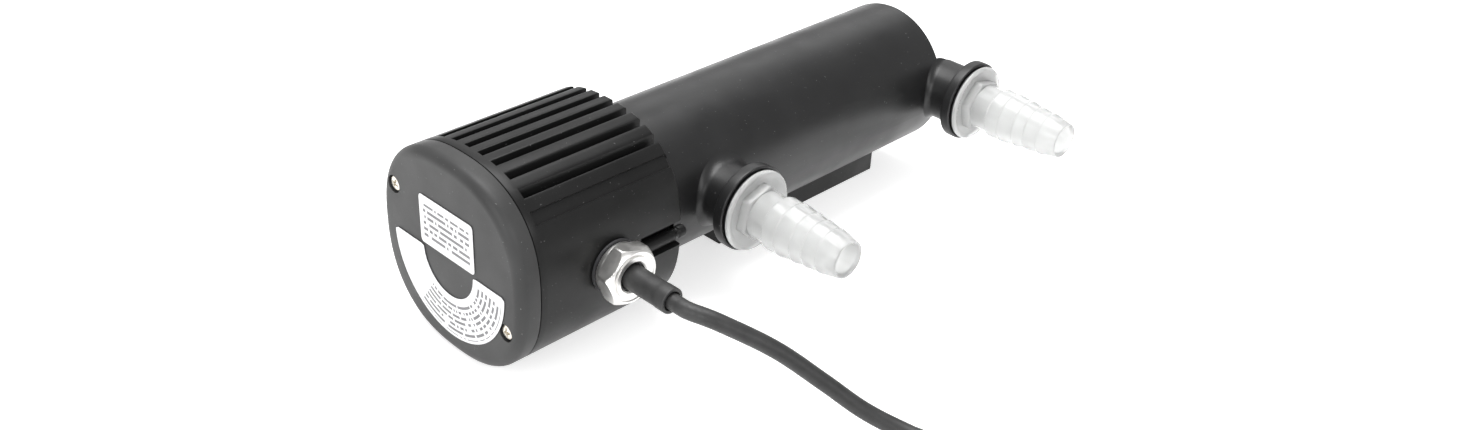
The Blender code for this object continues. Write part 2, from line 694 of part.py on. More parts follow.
def gland(frame, nut_axis):
    """Gland body through the wall, its washer, locknut and seal, the clamp nut and the cable's boot."""
    place = (GLAND_X, 0, GLAND_Z)
    body = turned([
        (11.8 * MM, 53.2 * MM), (11.8 * MM, 50.4 * MM), (9.6 * MM, 50.4 * MM), (9.6 * MM, 38 * MM),
        (6.3 * MM, 38 * MM), (6.3 * MM, 57.4 * MM), (9.4 * MM, 57.4 * MM), (9.4 * MM, 53.2 * MM),
    ], 32)
    link(body, "gland_body", "nickel", frame, place, TOWARDS_TAILS)
    washer = turned([(12.8 * MM, 50.1 * MM), (12.8 * MM, 49.3 * MM), (9.9 * MM, 49.3 * MM),
                     (9.9 * MM, 50.1 * MM)], 32)
    link(washer, "gland_washer", "rubber", frame, place, TOWARDS_TAILS)
    locknut = cylinder(12.4 * MM, 4.2 * MM, 6)
    link(locknut, "gland_locknut", "nickel", frame, (GLAND_X, -39.6 * MM, GLAND_Z), TOWARDS_TAILS)
    bore = cylinder(9.9 * MM, 10 * MM, 32)
    boolean(locknut, "DIFFERENCE",
            helper(bore, "cut_locknut", frame, (GLAND_X, -38 * MM, GLAND_Z), TOWARDS_TAILS))
    boot = turned([
        (0, 85.5 * MM), (5.2 * MM, 85.5 * MM), (5.6 * MM, 85.0 * MM), (5.6 * MM, 80 * MM),
        (5.8 * MM, 64 * MM), (5.8 * MM, 45 * MM), (0, 45 * MM),
    ], 24)
    link(boot, "cable_boot", "rubber", frame, place, TOWARDS_TAILS)
    seal = turned([
        (9.1 * MM, 60.2 * MM), (9.1 * MM, 57.7 * MM), (6.2 * MM, 57.7 * MM), (6.2 * MM, 60.2 * MM),
    ], 28)
    link(seal, "gland_seal", "rubber", nut_axis, (0, 0, 0), TOWARDS_TAILS)
    clamp_nut(nut_axis)


def clamp_nut(axis):
    """A hexagon whose corners are turned off at the front, bored for the gland's thread and the boot."""
    back = 53.5 * MM
    front = -NUT_FACE_Y
    hexagon = cylinder(NUT_RADIUS, front - back, 6)
    link(hexagon, "gland_nut", "nickel", axis, (0, -back, 0), TOWARDS_TAILS)
    hexagon.rotation_euler.rotate_axis("Z", 0.14)
    chamfer = turned([
        (0, front + 1 * MM), (11.6 * MM, front + 1 * MM), (18 * MM, front - 3.2 * MM), (18 * MM, back - 1 * MM),
        (0, back - 1 * MM),
    ], 36)
    boolean(hexagon, "INTERSECT", helper(chamfer, "keep_nut_chamfer", axis, (0, 0, 0), TOWARDS_TAILS))
    bore = turned([
        (0, front + 2 * MM), (6.9 * MM, front + 2 * MM), (6.9 * MM, front - 1.4 * MM),
        (9.8 * MM, front - 1.4 * MM), (9.8 * MM, back - 1 * MM), (0, back - 1 * MM),
    ], 32)
    boolean(hexagon, "DIFFERENCE", helper(bore, "cut_nut_bore", axis, (0, 0, 0), TOWARDS_TAILS))


def smooth_route(points, spacing):
    """Places along a Catmull-Rom curve through the points, about one spacing apart."""
    ends = [points[0] * 2 - points[1]] + points + [points[-1] * 2 - points[-2]]
    route = []
    for before, start, stop, after in zip(ends, ends[1:], ends[2:], ends[3:]):
        steps = max(1, round((stop - start).length / spacing))
        for step in range(steps):
            t = step / steps
            route.append(0.5 * (
                2 * start + (stop - before) * t + (2 * before - 5 * start + 4 * stop - after) * t * t
                + (3 * start - before - 3 * stop + after) * t ** 3
            ))
    route.append(points[-1])
    return route


def cable(frame):
    """The free run from the boot down to the floor and to the coil, the coil, and the end at the plug."""
    on_floor = -AXIS_HEIGHT + CABLE_RADIUS + 0.1 * MM
    run = [Vector((x * MM, y * MM, z)) for x, y, z in (
        (-242.5, -85.9, 0.5 * MM), (-242.3, -94, 0.5 * MM), (-236, -107, -2.0 * MM),
        (-221, -125, -13 * MM), (-208, -141, -27 * MM), (-198, -157, -38.5 * MM), (-190, -176, on_floor),
        (-186, -198, on_floor), (-186.5, -220, on_floor),
    )]
    run.append(Vector((COIL_X + OUTER_TURN, COIL_Y + COIL_CLEARANCE, on_floor)))
    link(tube_along(smooth_route(run, 9 * MM), CABLE_RADIUS), "power_cable", "rubber", frame)
    coil = turned([
        (COIL_RADIUS + COIL_HALF_WIDTH, COIL_HEIGHT), (COIL_RADIUS + COIL_HALF_WIDTH, 0),
        (COIL_RADIUS - COIL_HALF_WIDTH, 0), (COIL_RADIUS - COIL_HALF_WIDTH, COIL_HEIGHT),
    ], 40)
    link(coil, "cable_coil", "rubber", frame, (COIL_X, COIL_Y, -AXIS_HEIGHT + 0.1 * MM))
    plug_x = COIL_X - OUTER_TURN
    plug_z = -AXIS_HEIGHT + PLUG_RADIUS + 0.1 * MM
    relief_y = PLUG_REAR_Y - RELIEF_LENGTH
    end_run = [
        Vector((plug_x, COIL_Y + COIL_CLEARANCE, -AXIS_HEIGHT + TOP_TURN_HEIGHT - 1.5 * MM)),
        Vector((plug_x, relief_y - 17 * MM, plug_z + 3 * MM)),
        Vector((plug_x, relief_y - 8 * MM, plug_z)),
        Vector((plug_x, relief_y - 4 * MM, plug_z)),
        Vector((plug_x, relief_y - GAP, plug_z)),
    ]
    link(tube_along(smooth_route(end_run, 9 * MM), CABLE_RADIUS), "cable_end", "rubber", frame)
    plug(frame, plug_x, plug_z)


def plug(frame, x, z):
    """A moulded two-pin mains plug lying on its side, its pins towards +Y."""
    towards_pins = (-pi / 2, 0, 0)  # turns local +Z to +Y
    relief = turned([
        (0, RELIEF_LENGTH), (8 * MM, RELIEF_LENGTH), (5 * MM, 2 * MM), (4.6 * MM, 0), (0, 0),
    ], 20)
    link(relief, "plug_relief", "rubber", frame, (x, PLUG_REAR_Y - RELIEF_LENGTH, z), towards_pins)
    body = turned([
        (0, PLUG_LENGTH), (PLUG_RADIUS - 1 * MM, PLUG_LENGTH), (PLUG_RADIUS, PLUG_LENGTH - 1 * MM),
        (PLUG_RADIUS, 9 * MM), (11 * MM, 0), (0, 0),
    ], 32)
    link(body, "plug_body", "rubber", frame, (x, PLUG_REAR_Y + GAP, z), towards_pins)
    for k, side in enumerate((-1, 1)):
        pin = turned([
            (0, 19 * MM), (1.6 * MM, 19 * MM), (PLUG_PIN_RADIUS, 17.5 * MM), (PLUG_PIN_RADIUS, 0), (0, 0),
        ], 16)
        place = (x + side * PIN_SPACING / 2, PLUG_REAR_Y + 2 * GAP + PLUG_LENGTH, z)
        link(pin, f"plug_pin_{k + 1}", "nickel", frame, place, towards_pins)


def main():
    clear_scene()
    frame = axis_empty("clarifier", None, (END_X, END_Y, AXIS_HEIGHT))
    head_housing(frame)
    end_cover(frame)
    head_fittings(frame)
    quartz_sleeve(frame)
    lamp(axis_empty("lamp_axis", frame, (BASE_REAR_X, 0, 0)))
    lock_pin(axis_empty("lock_pin_axis", frame, (-224 * MM, PIN_Y, PIN_Z)))
    gland(frame, axis_empty("gland_nut_axis", frame, (GLAND_X, 0, GLAND_Z)))
    cable(frame)
    tube_axis = axis_empty("tube_axis", frame, (TUBE_MOUTH_X, 0, 0))
    bayonet_ring(tube_axis)
    tube_body(tube_axis)
    tube_seals(tube_axis)
    foot(tube_axis)
    for name, x in PORT_X.items():
        hose_tail(name, axis_empty(f"{name}_axis", tube_axis, (x - TUBE_MOUTH_X, 0, PORT_Z)))


main()
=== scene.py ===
"""The finished look of an ultraviolet clarifier: finned lamp head, water tube, hose tails, gland and cable.

Lengths are in millimetres and measured from the centre of the tube's closed end, with the head at -X and the
hose tails towards -Y. The function `placed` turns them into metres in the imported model's own frame.
"""

import logging
import math
from dataclasses import dataclass
from enum import Enum

import bmesh
import bpy
import numpy as np
from mathutils import Matrix, Vector


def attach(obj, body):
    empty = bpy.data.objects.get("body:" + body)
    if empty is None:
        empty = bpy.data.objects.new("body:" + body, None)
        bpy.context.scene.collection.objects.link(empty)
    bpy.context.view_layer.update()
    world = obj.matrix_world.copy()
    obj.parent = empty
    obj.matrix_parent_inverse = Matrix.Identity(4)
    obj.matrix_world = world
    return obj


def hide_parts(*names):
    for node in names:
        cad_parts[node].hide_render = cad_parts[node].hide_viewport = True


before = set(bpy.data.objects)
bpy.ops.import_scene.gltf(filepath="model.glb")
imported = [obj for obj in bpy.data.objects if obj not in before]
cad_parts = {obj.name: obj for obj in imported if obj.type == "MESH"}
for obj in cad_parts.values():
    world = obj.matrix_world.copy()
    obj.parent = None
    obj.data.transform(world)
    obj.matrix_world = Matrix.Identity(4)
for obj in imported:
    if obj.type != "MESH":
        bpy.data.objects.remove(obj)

LOG = logging.getLogger("clarifier")
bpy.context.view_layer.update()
TUBE_END = np.array((134.8, 32.42, 47.71))  # the tube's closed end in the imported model's frame
FLOOR = -47.71  # the floor's height, from the tube's axis
AROUND = 144  # faces round a turned piece


class Axis(Enum):
    """The ways a turned piece's axis can point, as rows for its two radial directions and its length."""

    ALONG_TUBE = ((0, 1, 0), (0, 0, 1), (1, 0, 0))
    TO_TAILS = ((1, 0, 0), (0, 0, 1), (0, -1, 0))
    TO_GLAND = ((1, 0, 0), (0, 0, -1), (0, 1, 0))


class Body(str, Enum):
    """The moving bodies that pieces ride on."""

    HEAD = "head"
    LAMP = "lamp"
    LOCK_PIN = "lock_pin"
    GLAND_NUT = "gland_nut"
    BAYONET = "bayonet"
    TUBE = "tube"


def placed(points: np.ndarray) -> np.ndarray:
    """Turns millimetres from the tube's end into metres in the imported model's frame.

    Args:
        points: An array whose last axis is X, Y, Z.

    Returns:
        The same array in metres, shifted by the tube end's place.
    """
    return (np.asarray(points, float) + TUBE_END) * 0.001


# ---------------------------------------------------------------- surfaces

def surface(name: str, grid: np.ndarray, ring_closed: bool = False, sharp: float = 32.0) -> bpy.types.Object:
    """Makes a closed mesh from a grid of points: row after row of rings, each joined to the next.

    Args:
        name: The piece's name.
        grid: Rows of rings of points, in millimetres, as (rows, around, 3).
        ring_closed: True where the last row joins the first, otherwise both end rows get a flat cap.
        sharp: The angle in degrees past which an edge between faces is drawn sharp.

    Returns:
        The linked mesh object, at the origin.
    """
    rows, around = grid.shape[:2]
    index = np.arange(rows * around).reshape(rows, around)
    last = rows if ring_closed else rows - 1
    here, there = index[:last], np.roll(index, -1, axis=0)[:last]
    quads = np.stack([here, np.roll(here, -1, 1), np.roll(there, -1, 1), there], axis=-1).reshape(-1, 4)
    faces = quads.tolist()
    if not ring_closed:
        faces += [index[0][::-1].tolist(), index[-1].tolist()]
    mesh = bpy.data.meshes.new(name)
    mesh.from_pydata(placed(grid).reshape(-1, 3).tolist(), [], faces)
    tidy(mesh, sharp)
    item = bpy.data.objects.new(name, mesh)
    bpy.context.scene.collection.objects.link(item)
    return item


def tidy(mesh: bpy.types.Mesh, sharp: float) -> None:
    """Merges doubles, drops faces of no area, turns every face outwards and sets the shading.

    Args:
        mesh: The mesh to clean.
        sharp: The angle in degrees past which an edge is drawn sharp.
    """
    shape = bmesh.new()
    shape.from_mesh(mesh)
    bmesh.ops.remove_doubles(shape, verts=shape.verts, dist=2e-6)
    bmesh.ops.dissolve_degenerate(shape, edges=shape.edges, dist=1e-6)
    bmesh.ops.recalc_face_normals(shape, faces=shape.faces)
    if shape.calc_volume(signed=True) < 0:
        bmesh.ops.reverse_faces(shape, faces=shape.faces)
    shape.to_mesh(mesh)
    shape.free()
    mesh.shade_smooth()
    mesh.set_sharp_from_angle(angle=math.radians(sharp))


def softened(profile: list, radius: float, steps: int = 4) -> np.ndarray:
    """Rounds a profile's corners: near each one the line follows the parabola that touches both its sides.

    Args:
        profile: The (radius, height) corners, in order.
        radius: How far back from a corner the rounding starts, at most.
        steps: Points in each rounding.

    Returns:
        The rounded profile as an array of (radius, height).
    """
    points = np.array(profile, float)
    t = np.linspace(0, 1, steps + 1)[:, None]
    out = [points[:1]]
    for before, corner, after in zip(points, points[1:], points[2:]):
        back, on = before - corner, after - corner
        lengths = [np.linalg.norm(side) for side in (back, on)]
        reach = [min(radius, 0.45 * length) / max(length, 1e-9) for length in lengths]
        start, stop = corner + back * reach[0], corner + on * reach[1]
        out.append((1 - t) ** 2 * start + 2 * t * (1 - t) * corner + t ** 2 * stop)
    return np.vstack(out + [points[-1:]])


def turned(
    name: str, profile: np.ndarray, axis: Axis, at: tuple, closed: bool = False, around: int = AROUND,
    radii: np.ndarray | None = None, sharp: float = 32.0,
) -> bpy.types.Object:
    """Turns a profile about an axis: point (r, h) sweeps the circle of radius r at height h.

    Args:
        name: The piece's name.
        profile: The (radius, height) points.
        axis: The way the axis points.
        at: The place of the axis' start.
        closed: True where the profile is a loop, which makes a ring.
        around: Points round the circle.
        radii: Radii per row and angle, in place of the profile's, for a shape that isn't round.
        sharp: The angle in degrees past which an edge is drawn sharp.

    Returns:
        The linked mesh object.
    """
    profile = np.asarray(profile, float)
    angle = np.linspace(0, 2 * np.pi, around, endpoint=False)
    radius = profile[:, :1] if radii is None else radii
    one, two, length = (np.array(row, float) for row in axis.value)
    grid = (
        np.array(at, float)
        + (radius * np.cos(angle))[..., None] * one
        + (radius * np.sin(angle))[..., None] * two
        + profile[:, 1][:, None, None] * length
    )
    return surface(name, grid, closed, sharp)


def hexagon(angle: np.ndarray, corner: float, spin: float, rounding: float = 0.97) -> np.ndarray:
    """Gives a hexagon's radius at each angle: its flat's distance over the cosine from the flat's middle.

    Args:
        angle: The angles, in radians.
        corner: The radius to a corner.
        spin: How far the hexagon is turned.
        rounding: The share of the corner's radius at which the corner is cut off round.

    Returns:
        The radius at each angle.
    """
    away = (angle - spin) % (np.pi / 3) - np.pi / 6
    return np.minimum(corner * np.cos(np.pi / 6) / np.cos(away), corner * rounding)


def carved(item: bpy.types.Object, tool: bpy.types.Object) -> None:
    """Cuts one closed mesh out of another for good, and removes the tool.

    Args:
        item: The piece that is cut.
        tool: The mesh that cuts it.
    """
    change = item.modifiers.new("carve", "BOOLEAN")
    change.operation = "DIFFERENCE"
    change.object = tool
    change.solver = "EXACT"
    graph = bpy.context.evaluated_depsgraph_get()
    graph.update()
    made = bpy.data.meshes.new_from_object(item.evaluated_get(graph))
    item.modifiers.remove(change)
    item.data = made
    made.shade_smooth()
    made.set_sharp_from_angle(angle=math.radians(32))
    bpy.data.objects.remove(tool, do_unlink=True)


# ---------------------------------------------------------------- finishes

class Shader:
    """A material's node tree, with short calls for the nodes that the finishes share."""

    def __init__(self, name: str) -> None:
        """Starts a material with its Principled shader and its object coordinates."""
        self.material = bpy.data.materials.new(name)
        self.material.use_nodes = True
        self.tree = self.material.node_tree
        self.skin = self.tree.nodes["Principled BSDF"]
        self.place = self.tree.nodes.new("ShaderNodeTexCoord").outputs["Object"]

    def node(self, kind: str, **values: object) -> bpy.types.Node:
        """Adds a node.

        Args:
            kind: The node's type.
            values: Properties by name, or inputs by name with underscores for spaces.

        Returns:
            The node.
        """
        made = self.tree.nodes.new(kind)
        for name, value in values.items():
            if hasattr(made, name):
                setattr(made, name, value)
            else:
                made.inputs[name.replace("_", " ")].default_value = value
        return made

    def join(self, output: bpy.types.NodeSocket, target: bpy.types.NodeSocket) -> None:
        """Links two sockets."""
        self.tree.links.new(output, target)

    def put(self, **values: object) -> None:
        """Sets constants on the Principled shader's own sockets, by name with underscores for spaces."""
        for name, value in values.items():
            self.skin.inputs[name.replace("_", " ")].default_value = value

    def noise(self, scale: float, detail: float = 3.0, stretch: tuple = (1, 1, 1)) -> bpy.types.NodeSocket:
        """Gives a noise pattern on object coordinates, stretched along the axes.

        Args:
            scale: The noise's scale per metre.
            detail: Its octaves.
            stretch: Factors on the coordinates.

        Returns:
            The noise's value from 0 to 1.
        """
        mapping = self.node("ShaderNodeMapping")
        mapping.inputs["Scale"].default_value = stretch
        self.join(self.place, mapping.inputs["Vector"])
        made = self.node("ShaderNodeTexNoise", Scale=scale, Detail=detail)
        self.join(mapping.outputs[0], made.inputs["Vector"])
        return made.outputs[0]

    def span(self, value: bpy.types.NodeSocket, low: float, high: float, out: tuple) -> bpy.types.NodeSocket:
        """Maps a value's range to another one, and holds it there beyond.

        Args:
            value: The value.
            low: The value that gives the first number of out.
            high: The value that gives the second.
            out: The two numbers.

        Returns:
            The mapped value.
        """
        made = self.node("ShaderNodeMapRange", clamp=True)
        for socket, number in zip(list(made.inputs)[1:5], (low, high, *out)):
            socket.default_value = number
        self.join(value, made.inputs["Value"])
        return made.outputs["Result"]

    def blend(self, share: bpy.types.NodeSocket, first: tuple, second: tuple) -> bpy.types.NodeSocket:
        """Mixes two colours.

        Args:
            share: The second colour's share, from 0 to 1.
            first: The first colour.
            second: The second colour.

        Returns:
            The mixed colour.
        """
        made = self.node("ShaderNodeMix", data_type="RGBA")
        made.inputs[6].default_value = (*first, 1)
        made.inputs[7].default_value = (*second, 1)
        self.join(share, made.inputs[0])
        return made.outputs[2]

    def maths(self, operation: str, one: object, two: object = 0.0) -> bpy.types.NodeSocket:
        """Works on two numbers or sockets.

        Args:
            operation: The operation's name.
            one: The first number or socket.
            two: The second.

        Returns:
            The result.
        """
        made = self.node("ShaderNodeMath", operation=operation)
        for socket, value in zip(made.inputs, (one, two)):
            if isinstance(value, bpy.types.NodeSocket):
                self.join(value, socket)
            else:
                socket.default_value = value
        return made.outputs[0]

    def bump(self, height: bpy.types.NodeSocket, strength: float, distance: float) -> None:
        """Adds a relief to the skin.

        Args:
            height: The relief's height, from 0 to 1.
            strength: The relief's strength.
            distance: Its full height, in metres.
        """
        made = self.node("ShaderNodeBump", Strength=strength, Distance=distance)
        self.join(height, made.inputs["Height"])
        self.join(made.outputs[0], self.skin.inputs["Normal"])


@dataclass(frozen=True)
class MouldedPlastic:
    """Moulded ABS: an even colour with faint cloudiness, a fine spark-eroded grain and a few dust marks."""

    name: str
    colour: tuple
    roughness: float
    grain: float = 0.25
    gloss: float = 0.3

    def build(self) -> bpy.types.Material:
        """Builds the material."""
        s = Shader(self.name)
        cloud = s.noise(26, 3)
        lighter = tuple(c * 1.35 + 0.002 for c in self.colour)
        dust = s.span(s.noise(900, 2), 0.735, 0.76, (0, 1))
        base = s.blend(s.span(cloud, 0.35, 0.7, (0, 1)), self.colour, lighter)
        made = s.node("ShaderNodeMix", data_type="RGBA")
        made.inputs[7].default_value = (0.3, 0.3, 0.3, 1)
        s.join(base, made.inputs[6])
        s.join(s.maths("MULTIPLY", dust, 0.35), made.inputs[0])
        s.join(made.outputs[2], s.skin.inputs["Base Color"])
        rough = s.span(s.noise(60, 4), 0.3, 0.7, (self.roughness - 0.05, self.roughness + 0.06))
        s.join(rough, s.skin.inputs["Roughness"])
        s.put(Specular_IOR_Level=self.gloss)
        s.bump(s.noise(2600, 2), self.grain, 0.00004)
        return s.material


@dataclass(frozen=True)
class FrostedClear:
    """Translucent frosted moulding: light scatters through it, and its surface is softly glossy."""

    name: str = "frosted_clear"

    def build(self) -> bpy.types.Material:
        """Builds the material."""
        s = Shader(self.name)
        cloud = s.span(s.noise(70, 3), 0.3, 0.7, (0, 1))
        s.join(s.blend(cloud, (0.77, 0.775, 0.77), (0.83, 0.835, 0.83)), s.skin.inputs["Base Color"])
        s.join(s.span(s.noise(140, 3), 0.3, 0.7, (0.10, 0.20)), s.skin.inputs["Roughness"])
        s.put(Transmission_Weight=0.62, IOR=1.33, Specular_IOR_Level=0.7)
        return s.material


@dataclass(frozen=True)
class SoftRubber:
    """Matt rubber or cable jacket, with a fine drag grain and slight bloom."""

    name: str
    colour: tuple = (0.022, 0.022, 0.024)
    roughness: float = 0.55

    def build(self) -> bpy.types.Material:
        """Builds the material."""
        s = Shader(self.name)
        bloom = s.span(s.noise(110, 4), 0.35, 0.75, (0, 1))
        paler = tuple(c * 1.7 + 0.004 for c in self.colour)
        s.join(s.blend(bloom, self.colour, paler), s.skin.inputs["Base Color"])
        rough = s.span(s.noise(500, 2), 0.3, 0.7, (self.roughness - 0.06, self.roughness + 0.08))
        s.join(rough, s.skin.inputs["Roughness"])
        s.bump(s.noise(1800, 3), 0.3, 0.00006)
        return s.material


@dataclass(frozen=True)
class PlatedMetal:
    """Plated metal: mirror-like or satin, with hairline turning marks and faint fingerprints."""

    name: str
    colour: tuple
    roughness: float
    marks: float = 0.12

    def build(self) -> bpy.types.Material:
        """Builds the material."""
        s = Shader(self.name)
        tone = s.span(s.noise(240, 3), 0.3, 0.7, (0, 1))
        s.join(s.blend(tone, self.colour, tuple(c * 0.9 for c in self.colour)), s.skin.inputs["Base Color"])
        prints = s.span(s.noise(160, 4), 0.4, 0.75, (self.roughness, self.roughness + 0.1))
        s.join(prints, s.skin.inputs["Roughness"])
        s.put(Metallic=1.0)
        s.bump(s.noise(900, 2, (0.3, 3, 0.3)), self.marks, 0.00003)
        return s.material


@dataclass(frozen=True)
class ClearGlass:
    """Quartz or lamp glass: clear, smooth and faintly tinted."""

    name: str
    tint: tuple = (0.84, 0.89, 0.92)
    clearness: float = 0.82

    def build(self) -> bpy.types.Material:
        """Builds the material."""
        s = Shader(self.name)
        haze = s.span(s.noise(60, 3), 0.4, 0.8, (0, 1))
        s.join(s.blend(haze, self.tint, tuple(c * 0.97 for c in self.tint)), s.skin.inputs["Base Color"])
        s.join(s.span(s.noise(90, 2), 0.3, 0.7, (0.02, 0.07)), s.skin.inputs["Roughness"])
        s.put(Transmission_Weight=self.clearness, IOR=1.46)
        return s.material


class Print(Enum):
    """The generic patterns printed on the labels."""

    RULED = "ruled"
    CURVED = "curved"


@dataclass(frozen=True)
class PrintedFilm:
    """White label film with rows of plain grey dashes, straight or round an arc, that spell nothing."""

    name: str
    pattern: Print

    def build(self) -> bpy.types.Material:
        """Builds the material: rows from one coordinate's fraction, dashes from a noise along the row."""
        s = Shader(self.name)
        centre = s.node("ShaderNodeMapping")
        centre.inputs["Location"].default_value = tuple(-v for v in placed((-293.0, 0.0, 0.0)))
        s.join(s.place, centre.inputs["Vector"])
        parts = s.node("ShaderNodeSeparateXYZ")
        s.join(centre.outputs[0], parts.inputs[0])
        y, z = parts.outputs[1], parts.outputs[2]
        if self.pattern is Print.CURVED:
            squares = s.maths("ADD", s.maths("MULTIPLY", y, y), s.maths("MULTIPLY", z, z))
            across = s.maths("SQRT", squares)
            turn = s.maths("ARCTAN2", y, s.maths("MULTIPLY", z, -1.0))
            along = s.maths("MULTIPLY", turn, 0.028)
            pitch, low, high = 0.0026, 0.0195, 0.0368
            ends = s.maths("MULTIPLY", s.maths("LESS_THAN", turn, 0.62), s.maths("GREATER_THAN", turn, -1.44))
        else:
            across, along = z, y
            pitch, low, high = 0.0030, 0.0045, 0.0222
            ends = s.maths("LESS_THAN", s.maths("ABSOLUTE", y), 0.0162)
        row = s.maths("DIVIDE", across, pitch)
        ink = s.maths("LESS_THAN", s.maths("FRACT", row), 0.5)
        cells = s.node("ShaderNodeCombineXYZ")
        s.join(s.maths("FLOOR", row), cells.inputs[0])
        s.join(s.maths("FLOOR", s.maths("DIVIDE", along, 0.0011)), cells.inputs[1])
        chance = s.node("ShaderNodeTexWhiteNoise", noise_dimensions="2D")
        s.join(cells.outputs[0], chance.inputs["Vector"])
        ink = s.maths("MULTIPLY", ink, s.maths("GREATER_THAN", chance.outputs[0], 0.22))
        ink = s.maths("MULTIPLY", ink, s.maths("GREATER_THAN", across, low))
        ink = s.maths("MULTIPLY", ink, s.maths("LESS_THAN", across, high))
        ink = s.maths("MULTIPLY", s.maths("MULTIPLY", ink, ends), 0.85)
        s.join(s.blend(ink, (0.74, 0.74, 0.75), (0.04, 0.04, 0.045)), s.skin.inputs["Base Color"])
        s.join(s.span(s.noise(90), 0.3, 0.7, (0.34, 0.48)), s.skin.inputs["Roughness"])
        return s.material


@dataclass(frozen=True)
class Finishes:
    """Every finish on the object, each built once."""

    shell: bpy.types.Material
    cap: bpy.types.Material
    tube: bpy.types.Material
    clear: bpy.types.Material
    rubber: bpy.types.Material
    jacket: bpy.types.Material
    nickel: bpy.types.Material
    screw: bpy.types.Material
    quartz: bpy.types.Material
    lamp_glass: bpy.types.Material
    ceramic: bpy.types.Material
    enamel: bpy.types.Material
    rating: bpy.types.Material
    notice: bpy.types.Material

    @classmethod
    def made(cls) -> "Finishes":
        """Builds all the finishes."""
        return cls(
            shell=MouldedPlastic("satin_black_head", (0.0065, 0.0065, 0.0065), 0.36, gloss=0.22).build(),
            # the cap is the head's satin black plastic, but its colour is made lighter: painted sheen for the
            # light its flat face catches
            cap=MouldedPlastic("satin_black_cap_painted_sheen", (0.030, 0.030, 0.030), 0.46).build(),
            tube=MouldedPlastic("satin_black_tube", (0.0085, 0.0085, 0.0088), 0.36, 0.15, 0.42).build(),
            clear=FrostedClear().build(),
            rubber=SoftRubber("black_rubber").build(),
            jacket=SoftRubber("cable_jacket", (0.017, 0.017, 0.017), 0.5).build(),
            nickel=PlatedMetal("bright_nickel", (0.84, 0.83, 0.81), 0.3).build(),
            screw=PlatedMetal("pale_plated_steel", (0.74, 0.70, 0.62), 0.28).build(),
            quartz=ClearGlass("quartz").build(),
            lamp_glass=ClearGlass("lamp_glass", (0.78, 0.80, 0.80), 0.35).build(),
            ceramic=MouldedPlastic("pale_thermoset", (0.72, 0.71, 0.68), 0.4).build(),
            enamel=MouldedPlastic("grey_enamel", (0.16, 0.16, 0.17), 0.45).build(),
            rating=PrintedFilm("rating_film", Print.RULED).build(),
            notice=PrintedFilm("notice_film", Print.CURVED).build(),
        )


def finished(
    item: bpy.types.Object, finish: bpy.types.Material, body: Body | str, stands_for: tuple = (),
) -> bpy.types.Object:
    """Dresses a piece, makes it ride on its body and hides the CAD nodes it stands for.

    Args:
        item: The piece.
        finish: Its material.
        body: The moving body it rides on.
        stands_for: CAD nodes it replaces.

    Returns:
        The piece.
    """
    item.data.materials.clear()
    item.data.materials.append(finish)
    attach(item, body.value if isinstance(body, Body) else body)
    if stands_for:
        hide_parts(*stands_for)
    LOG.info("%s rides on %s", item.name, body)
    return item


# ---------------------------------------------------------------- camera, light and floor

